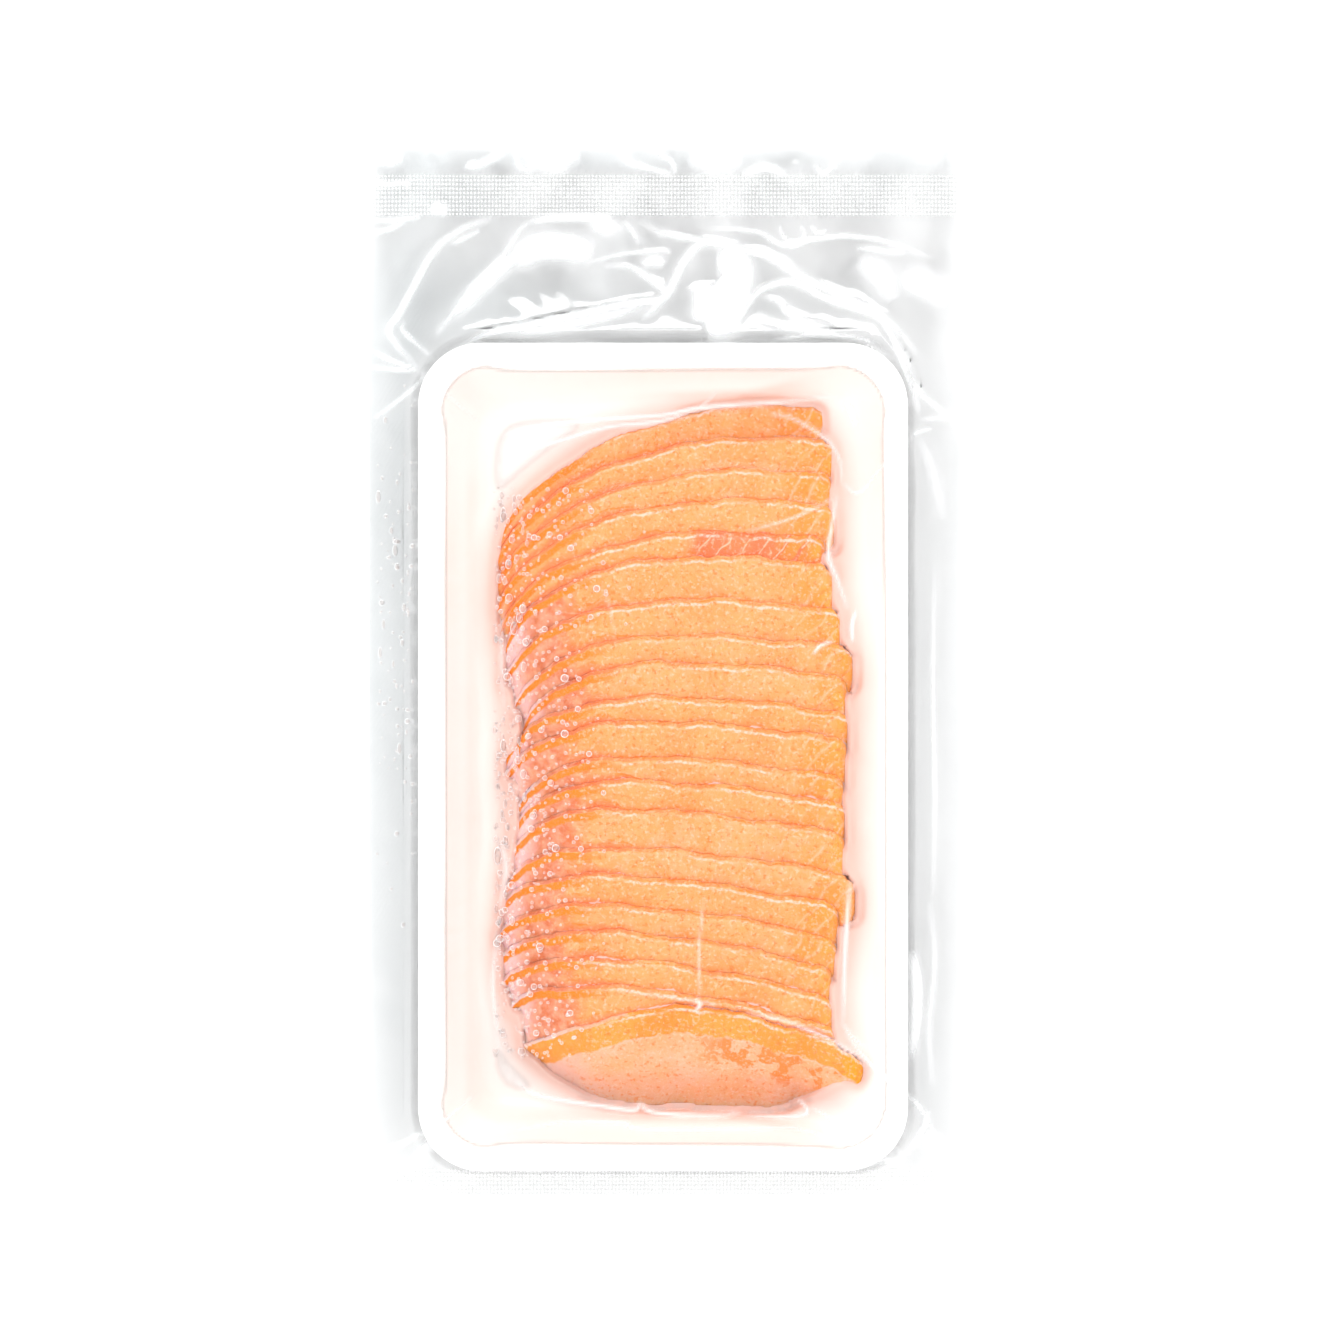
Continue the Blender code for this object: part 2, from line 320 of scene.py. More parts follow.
def tray_inset(x, y, width, length):
    """How far inside the tray's outer edge each place lies, and below 0 outside it."""
    inset = np.zeros_like(x)
    for _ in range(5):
        radius = np.maximum(TRAY_CORNER - CORNER_SHRINK * inset, 1)
        dx = np.abs(x - TRAY_CENTRE[0]) - (width / 2 - inset - radius)
        dy = np.abs(y - TRAY_CENTRE[1]) - (length / 2 - inset - radius)
        outside = np.hypot(np.maximum(dx, 0), np.maximum(dy, 0))
        inset = inset - (outside + np.minimum(np.maximum(dx, dy), 0) - radius)
    return inset


def margin_height(x, y, inset):
    """How high the bag's margin lies: it sinks away from the tray and ripples as it widens."""
    away = np.maximum(-inset - MARGIN_START, 0)
    sink = MARGIN_LOW + (MARGIN_ROOT - MARGIN_LOW) * np.exp(-away / MARGIN_FADE)
    wave = (
        np.sin(2 * math.pi * (x + 0.6 * y) / WAVE_LENGTHS[0])
        + np.sin(2 * math.pi * (x - 0.3 * y) / WAVE_LENGTHS[1] + 1.0)
        + np.sin(2 * math.pi * y / WAVE_LENGTHS[2] + 0.5)
    ) / len(WAVE_LENGTHS)
    return sink + WAVE_HEIGHT * wave * np.minimum(away / MARGIN_FADE, 1)


def slice_facts(pile_height):
    """What sets each slice: where its crest lies, its two ends, and how it falls to them."""
    facts = []
    for number in range(SLICES):
        late = number / (SLICES - 1)
        left_change = (LAST_LEFT_FALL - FIRST_LEFT_FALL) * (1 - (1 - late) ** 1.3)
        facts.append({
            "crest": FIRST_CREST - sum(BANDS[:number]),
            "apex": max(FIRST_APEX - APEX_STEP * number, LEAST_APEX),
            "left": LEFT_TIPS[number],
            "right": RIGHT_ENDS[number],
            "left_fall": FIRST_LEFT_FALL + left_change,
            "right_fall": FIRST_RIGHT_FALL + (LAST_RIGHT_FALL - FIRST_RIGHT_FALL) * late**1.5,
            "height": pile_height - (pile_height - SLICE_THICKNESS) * math.exp(-number / PILE_RISE),
            "roundness": FIRST_ROUNDNESS + (LAST_ROUNDNESS - FIRST_ROUNDNESS) * min(3 * late, 1),
            "end_round": END_ROUND,
            "seed": 40 + number,
        })
    facts[-1].update(TOP_SLICE)
    return facts


def crest_line(fact, x):
    """Where one slice's crest lies over x, and how high, with the raggedness of a real cut."""
    left_t = np.clip((fact["apex"] - x) / (fact["apex"] - fact["left"]), 0, 1)
    right_t = np.clip((x - fact["apex"]) / (fact["right"] - fact["apex"]), 0, 1)
    power = fact["roundness"]
    y = fact["crest"] - fact["left_fall"] * (1 - (1 - left_t**power) ** (1 / power))
    y = y - fact["right_fall"] * right_t**1.7
    end = np.clip(1 - (fact["right"] - x) / BLUNT_RUN, 0, 1)
    y = y - fact["end_round"] * (1 - np.sqrt(1 - end**2))
    y = y + sum(share * ripple(x, fact["seed"] + seed, run) for share, seed, run in CREST_RIPPLES)
    taper = np.sin(np.clip((x - fact["left"]) / TAPER_RUN, 0, 1) * math.pi / 2)
    blunt = 0.62 + 0.38 * np.sqrt(1 - end**2)
    height = (TIP_HEIGHT + (fact["height"] - TIP_HEIGHT) * taper) * blunt
    uneven = sum(share * ripple(x, fact["seed"] + seed, run) for share, seed, run in HEIGHT_RIPPLES)
    inside = (x > fact["left"]) & (x < fact["right"])
    return y, np.where(inside, height + uneven * taper * blunt, -1.0)


def pile_lines(facts, x, floor):
    """Crests and creases over x: y and z of both for every slice, as rows. A crease lies at
    the foot of the next slice's cut edge, and the last slice has none."""
    crest_y, crest_z, crease_y, crease_z = [], [], [], []
    for fact in facts:
        y, z = crest_line(fact, x)
        if crest_y:
            y = np.minimum(y, crest_y[-1] - LEAST_BAND * reach + 40 * (1 - met))
        left, right = fact["left"], fact["right"]
        reach = smooth_step(left, left + 5, x) * smooth_step(right, right - 3, x)
        met = smooth_step(left - 0.4, left, x) * smooth_step(right + 0.4, right, x)
        crest_y.append(y)
        crest_z.append(floor + z)
    for number in range(SLICES - 1):
        band = crest_y[number] - crest_y[number + 1]
        step = SLICE_STEP * (1 + 0.22 * ripple(x, 500 + number, 30))
        foot = np.minimum(crest_z[number + 1] - step, crest_z[number] - 0.2)
        foot = np.maximum(foot, crest_z[number] - LEAST_DROP)
        crease_y.append(crest_y[number + 1] + np.minimum(STEP_RUN, 0.4 * band))
        crease_z.append(np.maximum(foot, floor - 1))
    return [np.array(rows) for rows in (crest_y, crest_z, crease_y, crease_z)]


def last_face(fact, x, y, z, floor, shares):
    """The whole face of the last slice, which slopes down to the tray's floor."""
    middle = (fact["left"] + fact["right"]) / 2
    across = np.minimum(np.abs(x - middle) / (fact["right"] - middle), 1)
    nose = smooth_step(0.55, 0.85, (x - middle) / (fact["right"] - middle))
    round_end = np.sqrt(1 - np.clip(1 - (fact["right"] - x) / 3.5, 0, 1) ** 2)
    lip = LAST_FACE_LIP + (LAST_FACE_NOSE * round_end - LAST_FACE_LIP) * nose
    depth = np.maximum(LAST_FACE_DEPTH * (1 - across**2.5), lip)
    low = floor - 0.6 + np.maximum(z - 2.5 - floor, 0) * nose
    rows_y = [y - depth * share for share in shares]
    rows_z = [z + (low - z) * share**1.4 for share in shares]
    return np.array(rows_y), np.array(rows_z)


@functools.lru_cache
def shared_forms(bag_width, bag_length, tray_width, tray_length, pile_height, film_bend):
    """The heights that several pieces need, over one grid of places on the bag."""
    floor = TRAY_HEIGHTS[-1]
    gx = np.linspace(-bag_width / 2, bag_width / 2, FILM_GRID[0])
    gy = np.linspace(-bag_length / 2, bag_length / 2, FILM_GRID[1])
    x, y = np.meshgrid(gx, gy)
    inset = tray_inset(x, y, tray_width, tray_length)
    tray = np.interp(inset, TRAY_INSETS, TRAY_HEIGHTS)
    facts = slice_facts(pile_height)
    crest_y, crest_z, crease_y, crease_z = pile_lines(facts, gx, floor)
    ends = [closed_off(facts, k, gx, crest_y[k], crease_y[k]) for k in range(SLICES - 1)]
    end_y, shut = np.array(ends).transpose(1, 0, 2)
    shares = np.linspace(0, 1, 8)
    face_y, face_z = last_face(facts[-1], gx, crest_y[-1], crest_z[-1], floor, shares)
    pile = np.full_like(x, floor - 1)
    for column in range(len(gx)):
        line = [(crest_y[0, column] + STEP_RUN, floor - 1)]
        for k in range(SLICES - 1):
            a = (crest_y[k, column], crest_z[k, column])
            b = (end_y[k, column], crease_z[k, column])
            foot = max(b[0] - 0.4 * shut[k, column], crest_y[k + 1, column] + 0.02)
            line += [a, ((a[0] + b[0]) / 2, (a[1] + b[1]) / 2 + FACE_BULGE), b]
            line.append((foot, b[1] + (floor - 1 - b[1]) * shut[k, column]))
        line += list(zip(face_y[:, column], face_z[:, column]))
        line.reverse()
        ys, zs = zip(*line)
        pile[:, column] = np.interp(gy, ys, zs, left=floor - 1, right=floor - 1)
    margin = margin_height(x, y, inset)
    side = np.clip(1 + (inset + 0.2) / (MARGIN_START - 0.2), 0, 1)
    film = np.where(inset > -0.2, tray, margin + (TRAY_HEIGHTS[0] - margin) * side**1.6)
    forms = {
        "gx": gx, "gy": gy, "x": x, "y": y, "inset": inset, "tray": tray, "pile": pile,
        "margin": margin, "facts": facts, "floor": floor,
        "film": drawn_down(film, np.maximum(tray, widened(pile)), inset, gx[1] - gx[0], film_bend),
    }
    forms["top"], forms["white"], forms["grey"] = folded_film(forms)
    return forms


def widened(heights):
    """The highest of each place and its neighbours, so that no crest falls between two places."""
    for axis in (0, 1):
        ahead, behind = np.roll(heights, 1, axis), np.roll(heights, -1, axis)
        heights = np.maximum(heights, np.maximum(ahead, behind))
    return heights


def drawn_down(film, contents, inset, spacing, bend):
    """The film's height where the vacuum draws it on the contents: a skin under tension that
    rests on them and bridges their inner corners with a bend of that radius."""
    inner = inset > 2.6
    rest = contents + FILM_CLEARANCE
    pull = spacing**2 / (4 * bend)
    skin = np.where(inner, rest, film)
    for _ in range(500):
        mean = (skin[:-2, 1:-1] + skin[2:, 1:-1] + skin[1:-1, :-2] + skin[1:-1, 2:]) / 4
        drawn = np.maximum(mean - pull, rest[1:-1, 1:-1])
        skin[1:-1, 1:-1] = np.where(inner[1:-1, 1:-1], drawn, skin[1:-1, 1:-1])
    softened = blurred(skin, 7) + 0.15 * smooth_step(8, 14, inset)
    softened = np.where(inset > 1, np.maximum(softened, rest - 0.04), softened)
    return blurred(softened, 2)


def shared(context):
    """The shared forms at the panel's sizes."""
    s = context.scene.pack_sizes
    sizes = (s.bag_width, s.bag_length, s.tray_width, s.tray_length, s.pile_height, s.film_bend)
    return shared_forms(*[round(size / MM, 4) for size in sizes])


# ---- Folds of the film ----

def curve_through(points, steps=9):
    """Points of a smooth curve through the given ones."""
    points = np.array(points, float)
    ends = np.vstack([2 * points[0] - points[1], points, 2 * points[-1] - points[-2]])
    curve = []
    for a, b, c, d in zip(ends, ends[1:], ends[2:], ends[3:]):
        for t in np.arange(steps) / steps:
            curve.append(0.5 * (2 * b + (c - a) * t + (2 * a - 5 * b + 4 * c - d) * t**2
                                + (3 * b - a - 3 * c + d) * t**3))
    return np.array(curve + [points[-1]])


def fold(forms, points, width, height, sharp, white):
    """A ridge of film along a curve through pixels of the photograph, and how white its crease
    is: whitening of the crease together with painted sheen. Its top is round at sharp 0 and creased at
    sharp 1, and both ends fade."""
    curve = curve_through([at(*p) for p in points])
    gx, gy = forms["gx"], forms["gy"]
    nearest = np.full(forms["x"].shape, 1e3)
    along = np.zeros(forms["x"].shape)
    steps = len(curve) - 1
    reach = 3.2 * width
    for k, (a, b) in enumerate(zip(curve, curve[1:])):
        i0, i1 = np.searchsorted(gx, (min(a[0], b[0]) - reach, max(a[0], b[0]) + reach))
        j0, j1 = np.searchsorted(gy, (min(a[1], b[1]) - reach, max(a[1], b[1]) + reach))
        if i0 == i1 or j0 == j1:
            continue
        window = (slice(j0, j1), slice(i0, i1))
        dx, dy = forms["x"][window] - a[0], forms["y"][window] - a[1]
        span = b - a
        t = np.clip((dx * span[0] + dy * span[1]) / (span @ span + 1e-9), 0, 1)
        away = np.hypot(dx - t * span[0], dy - t * span[1])
        closer = away < nearest[window]
        nearest[window] = np.where(closer, away, nearest[window])
        along[window] = np.where(closer, (k + t) / steps, along[window])
    q = nearest / width
    ridge = (1 - sharp) * np.exp(-q * q) + sharp * np.exp(-1.6 * q)
    ridge = np.where(q < 3.2, ridge - np.exp(-1.6 * 3.2) * sharp, 0)
    fade = np.clip(np.sin(math.pi * np.clip(along, 0, 1)), 0, 1) ** 0.5
    return height * np.maximum(ridge, 0) * fade, white * fade * np.exp(-(1.35 * q) ** 2)


# Each fold: the pixels that it runs through, its width and height in mm, its sharpness, and how
# white it is, as whitening of its crease together with painted sheen
FOLDS = (
    # the wide end, from the left corner of the tray up and over to the right corner
    (((418, 369), (392, 339), (388, 326), (397, 313), (412, 285), (432, 250), (458, 228),
      (492, 215)), 1.3, 1.0, 0.5, 0.9),
    (((449, 242), (479, 228)), 0.9, 0.5, 0.5, 0.7),
    (((431, 356), (410, 338), (401, 328), (403, 319)), 0.8, 0.6, 0.6, 0.7),
    (((434, 334), (447, 319), (464, 295), (481, 274), (503, 252), (520, 226),
      (532, 218)), 1.1, 1.0, 0.6, 0.7),
    (((450, 318), (470, 296), (492, 274), (514, 256), (540, 250)), 2.6, 1.3, 0.2, 0.9),
    (((512, 262), (535, 246), (565, 245), (594, 252)), 5.0, 1.6, 0.0, 1.3),
    (((528, 220), (549, 216), (590, 216), (626, 228)), 1.6, 0.8, 0.3, 0.8),
    (((590, 222), (606, 226), (616, 222)), 2.6, 1.0, 0.0, 0.8),
    (((622, 217), (632, 228), (640, 243)), 1.2, 0.7, 0.4, 0.6),
    (((586, 261), (620, 252), (664, 248), (668, 252)), 0.8, 0.6, 0.6, 0.7),
    (((640, 262), (656, 258), (664, 264)), 2.2, 0.7, 0.1, 0.8),
    (((599, 263), (629, 265), (648, 276), (664, 289), (661, 298), (620, 304), (555, 319),
      (490, 332), (462, 345), (436, 358)), 1.2, 1.0, 0.5, 0.9),
    (((650, 300), (610, 314), (555, 326), (500, 336)), 2.4, 0.9, 0.2, 0.7),
    (((640, 319), (653, 308), (666, 295), (675, 278), (683, 261), (699, 243), (720, 239),
      (742, 246)), 1.7, 1.3, 0.4, 0.8),
    (((716, 262), (735, 262), (732, 290), (722, 318), (704, 326)), 6.0, 1.8, 0.0, 1.5),
    (((700, 280), (704, 300), (700, 322)), 4.0, 0.8, 0.0, 1.2),
    (((638, 217), (661, 230), (700, 238), (744, 248), (770, 256), (792, 269), (827, 287),
      (859, 302), (879, 313), (900, 330), (920, 356)), 1.2, 1.0, 0.6, 0.9),
    (((750, 246), (772, 254), (796, 268)), 2.2, 0.8, 0.1, 0.9),
    (((714, 337), (735, 324), (755, 295), (768, 285), (788, 280), (805, 285), (829, 298),
      (868, 311), (883, 319), (896, 341), (909, 369), (922, 404)), 1.2, 1.0, 0.6, 0.9),
    (((761, 295), (779, 300), (792, 315), (831, 326)), 1.2, 0.7, 0.4, 0.6),
    (((779, 326), (806, 326), (836, 330)), 1.9, 0.7, 0.1, 0.9),
    (((709, 341), (748, 326), (779, 329)), 0.9, 0.6, 0.5, 0.6),
    (((766, 342), (792, 336), (824, 333), (857, 337), (874, 345), (886, 362)), 0.9, 0.6, 0.5, 0.7),
    (((709, 226), (735, 226), (761, 230), (779, 241), (796, 243), (811, 237), (827, 235),
      (848, 233), (879, 237), (900, 243), (935, 256)), 0.9, 0.8, 0.6, 0.9),
    (((779, 222), (785, 235), (796, 239), (805, 233), (801, 222)), 0.7, 0.5, 0.6, 0.8),
    (((811, 222), (818, 230), (829, 227)), 0.7, 0.5, 0.6, 0.7),
    (((857, 246), (870, 246), (889, 249), (908, 250)), 1.0, 0.5, 0.4, 0.8),
    (((860, 256), (880, 272), (896, 298)), 4.0, 1.0, 0.0, 0.8),
    (((902, 276), (928, 284), (952, 294)), 4.2, 1.2, 0.0, 1.1),
    # the right corner's knot and the right margin
    (((883, 319), (896, 343), (908, 378), (920, 413)), 1.0, 0.8, 0.6, 0.8),
    (((900, 350), (918, 388), (940, 408), (961, 424)), 1.0, 0.6, 0.6, 0.7),
    (((909, 437), (922, 430), (934, 428)), 0.8, 0.6, 0.5, 0.7),
    (((920, 419), (942, 417), (963, 417)), 0.8, 0.5, 0.5, 0.6),
    (((874, 345), (885, 361), (892, 372)), 0.7, 0.5, 0.5, 0.5),
    (((918, 432), (934, 470), (944, 520)), 2.0, 0.6, 0.2, 0.4),
    (((913, 950), (918, 1000), (912, 1062)), 1.8, 0.9, 0.2, 1.2),
    (((930, 900), (936, 960), (930, 1030), (934, 1090)), 1.2, 0.5, 0.3, 0.5),
    (((936, 560), (934, 680), (936, 800), (934, 900)), 1.0, 0.4, 0.3, 0.5),
    (((843, 1030), (870, 1063), (904, 1093), (921, 1109), (938, 1140)), 0.8, 0.7, 0.6, 0.9),
    (((924, 1136), (934, 1144), (944, 1150)), 2.6, 0.9, 0.0, 1.3),
    (((905, 1158), (922, 1134), (930, 1110)), 1.0, 0.7, 0.4, 0.8),
    (((866, 1166), (884, 1160), (906, 1168)), 1.2, 0.7, 0.5, 0.9),
    (((850, 1108), (880, 1136), (905, 1158)), 0.7, 0.5, 0.6, 0.8),
    (((858, 1150), (860, 1170)), 0.7, 0.4, 0.5, 0.6),
    # the head's left corner and the tray's left knot
    (((369, 348), (388, 358), (418, 369)), 0.8, 0.7, 0.6, 0.9),
    (((369, 366), (392, 368), (418, 370)), 0.8, 0.6, 0.6, 0.8),
    (((371, 419), (397, 400), (416, 384), (428, 372)), 0.8, 0.6, 0.6, 0.8),
    (((418, 369), (434, 384), (458, 404), (481, 423)), 0.6, 0.4, 0.6, 0.5),
    (((369, 178), (386, 181), (405, 180), (404, 186)), 0.9, 0.5, 0.4, 0.8),
    (((430, 202), (437, 206), (446, 208)), 2.0, 0.5, 0.0, 1.1),
    (((369, 217), (395, 217), (421, 214)), 0.9, 0.5, 0.5, 0.8),
    (((369, 230), (388, 226), (405, 218)), 0.9, 0.5, 0.5, 0.8),
    # the loose flap beyond the head seal
    (((462, 163), (480, 160), (503, 148)), 1.4, 0.9, 0.3, 1.0),
    (((514, 148), (518, 163), (533, 168)), 0.8, 0.8, 0.6, 0.8),
    (((527, 146), (534, 159), (568, 167)), 1.6, 0.9, 0.4, 0.9),
    (((540, 150), (556, 156), (580, 150)), 2.6, 0.8, 0.0, 0.9),
    (((620, 146), (629, 159), (650, 165), (674, 172)), 1.0, 0.8, 0.5, 0.9),
    (((655, 148), (672, 159), (675, 171)), 0.7, 0.7, 0.6, 0.8),
    (((690, 150), (712, 158), (742, 150)), 3.0, 0.9, 0.0, 0.9),
    (((742, 172), (766, 164), (788, 172)), 1.6, 0.8, 0.2, 1.0),
    (((835, 144), (838, 156), (825, 170), (814, 160)), 0.8, 0.7, 0.5, 0.8),
    (((372, 150), (388, 156), (402, 153)), 2.2, 0.7, 0.1, 1.0),
    # the foot's left corner
    (((384, 1150), (404, 1144), (424, 1130)), 1.0, 0.7, 0.5, 0.8),
    (((396, 1180), (408, 1166), (428, 1138)), 0.9, 0.6, 0.5, 0.7),
    (((426, 1136), (450, 1116), (474, 1096)), 0.8, 0.5, 0.5, 0.6),
    (((430, 1132), (420, 1158), (404, 1176)), 1.6, 0.6, 0.1, 0.8),
    # the left margin
    (((404, 470), (410, 640), (406, 830)), 1.6, 0.3, 0.1, 0.0),
    (((384, 560), (380, 720), (386, 900)), 3.0, 0.4, 0.0, 0.0),
    # inside the tray
    (((500, 434), (540, 424), (600, 418), (660, 414), (700, 407), (770, 402),
      (842, 395)), 0.8, 0.6, 0.6, 0.9),
    (((512, 452), (556, 440), (606, 426), (660, 420), (690, 411)), 0.8, 0.55, 0.6, 0.9),
    (((690, 410), (703, 404), (720, 387)), 0.6, 0.4, 0.6, 0.5),
    (((846, 400), (852, 412), (857, 426)), 1.0, 0.6, 0.3, 1.2),
    (((770, 412), (792, 417), (809, 426), (829, 440), (840, 458), (843, 484)), 0.7, 0.35, 0.7, 0.7),
    (((838, 494), (832, 527), (829, 556), (838, 580), (848, 610)), 0.8, 0.5, 0.6, 0.9),
    (((922, 430), (881, 468), (860, 492), (842, 482)), 0.7, 0.5, 0.7, 0.7),
    (((748, 531), (795, 517), (836, 498)), 0.5, 0.25, 0.6, 0.5),
    (((856, 610), (852, 626), (853, 643)), 0.7, 0.5, 0.6, 1.1),
    (((813, 655), (820, 646), (834, 641)), 0.6, 0.35, 0.6, 0.9),
    (((600, 585), (611, 610), (614, 640)), 0.5, 0.15, 0.5, 0.25),
    (((700, 1000), (699, 950), (704, 895)), 0.5, 0.15, 0.5, 0.4),
    (((694, 1012), (700, 1004), (694, 998)), 0.8, 0.5, 0.5, 0.9),
    (((850, 880), (846, 940), (843, 1024)), 0.9, 0.6, 0.4, 0.9),
    (((840, 1020), (852, 1036), (868, 1050)), 0.7, 0.4, 0.6, 0.6),
    (((614, 990), (690, 1000), (720, 1006)), 0.5, 0.2, 0.5, 0.4),
    (((744, 1012), (790, 1022), (846, 1048), (868, 1064)), 0.7, 0.3, 0.5, 0.6),
    (((514, 1084), (538, 1098), (600, 1108), (634, 1112), (640, 1104)), 0.8, 0.7, 0.5, 1.1),
    (((640, 1104), (652, 1114), (700, 1117), (742, 1116)), 0.7, 0.6, 0.5, 1.0),
    (((742, 1118), (800, 1117), (807, 1110), (798, 1100)), 0.7, 0.5, 0.5, 1.0),
    (((504, 1134), (560, 1124), (622, 1124), (640, 1130), (740, 1130), (800, 1130),
      (840, 1143)), 0.8, 0.5, 0.5, 0.9),
    (((812, 1108), (834, 1122), (860, 1146)), 0.6, 0.4, 0.6, 0.8),
    (((500, 840), (505, 870), (500, 910)), 1.2, 0.6, 0.2, 0.7),
    (((503, 600), (500, 660), (504, 720)), 0.8, 0.4, 0.3, 0.4),
    (((497, 930), (492, 990), (500, 1060)), 1.0, 0.5, 0.2, 0.6),
)
# Painted shade on the margin's film: pixels, half width and half height in mm, and how grey it is there
SHADES = (
    (392, 640, 8.0, 90.0, 0.6), (411, 620, 3.0, 75.0, 0.65), (396, 290, 14.0, 22.0, 0.35),
    (430, 300, 20.0, 18.0, 0.3), (398, 160, 14.0, 8.0, 0.4), (440, 190, 22.0, 10.0, 0.3),
    (372, 640, 3.0, 110.0, 0.7), (961, 640, 3.0, 110.0, 0.5),
    (600, 152, 75.0, 4.0, 0.7), (900, 160, 18.0, 7.0, 0.35), (556, 292, 26.0, 7.0, 0.3),
    (488, 305, 10.0, 14.0, 0.3), (770, 300, 12.0, 8.0, 0.2), (900, 420, 6.0, 14.0, 0.3),
    (400, 440, 10.0, 26.0, 0.35), (600, 1184, 70.0, 4.0, 0.2), (912, 1100, 8.0, 20.0, 0.3),
    (640, 345, 60.0, 1.8, 0.3), (392, 1000, 8.0, 36.0, 0.25), (620, 240, 10.0, 7.0, 0.25),
)


def folded_film(forms):
    """The top film's height with all its folds, how white it is with painted sheen along the folds, and
    how grey it is with painted shade on the margin.
    """
    z = forms["film"].copy()
    x, y, inset = forms["x"], forms["y"], forms["inset"]
    white = np.zeros_like(z)
    for settings in FOLDS:
        # each fold's white is whitening of its crease together with painted sheen, weaker inside the tray
        ridge, whitening_and_sheen = fold(forms, *settings)
        z += ridge
        white = np.maximum(white, whitening_and_sheen * np.where(inset > 7, 0.7, 1))
    outside = smooth_step(3.0, 8.0, -inset)
    flap = smooth_step(TOP_SEAL[1] - 1, TOP_SEAL[1] + 3, y)
    # a grey base for the welded film, painted shade that darkens the left side, and more grey over the
    # flap
    shade = 0.11 + 0.13 * smooth_step(20, -50, x) * smooth_step(115, 90, y) + 0.12 * flap
    grey = shade * smooth_step(0.5, 3.0, -inset)
    # the painted shade of each patch in SHADES
    for px, py, half_x, half_y, share in SHADES:
        cx, cy = at(px, py)
        away = ((x - cx) / half_x) ** 2 + ((y - cy) / half_y) ** 2
        grey = grey + 0.6 * share * outside**0.3 * np.exp(-away)
    cloud = ripple(x + 0.7 * y, 3, 33) * ripple(y - 0.5 * x, 5, 47)
    grey = grey * (1 + 0.15 * cloud)
    z += 0.25 * outside * ripple(x + 0.7 * y, 3, 23) * ripple(y - 0.5 * x, 5, 31)
    z += 0.5 * flap * ripple(x, 11, 34) * np.cos(0.4 * (y - TOP_SEAL[1]))
    return np.maximum(z, 0.4), np.clip(white, 0, 1), np.clip(grey, 0, 1) * (inset < 0.5)


# ---- Materials ----

def foam_material(colours):
    """Extruded polystyrene foam: a bright white skin, slightly satin, with faint cells in it."""
    material, tree, out = new_material("extruded_polystyrene_foam")
    place = add_node(tree, "ShaderNodeTexCoord").outputs["Object"]
    cells = add_node(tree, "ShaderNodeTexVoronoi", {"Vector": place, "Scale": 1 / (1.1 * MM)})
    cloud = add_node(tree, "ShaderNodeTexNoise", {"Vector": place, "Scale": 1 / (14 * MM), "Detail": 3.0})
    colour = mixed(tree, cloud.outputs["Fac"], colours.foam, [c * 0.97 for c in colours.foam])
    bump = add_node(tree, "ShaderNodeBump", {
        "Strength": 0.12, "Distance": 0.1 * MM, "Height": cells.outputs["Distance"]})
    shader = add_node(tree, "ShaderNodeBsdfPrincipled", {
        "Base Color": colour, "Roughness": 0.5, "IOR": 1.45, "Specular IOR Level": 0.35,
        "Normal": bump.outputs["Normal"]})
    tree.links.new(shader.outputs[0], out.inputs["Surface"])
    return material


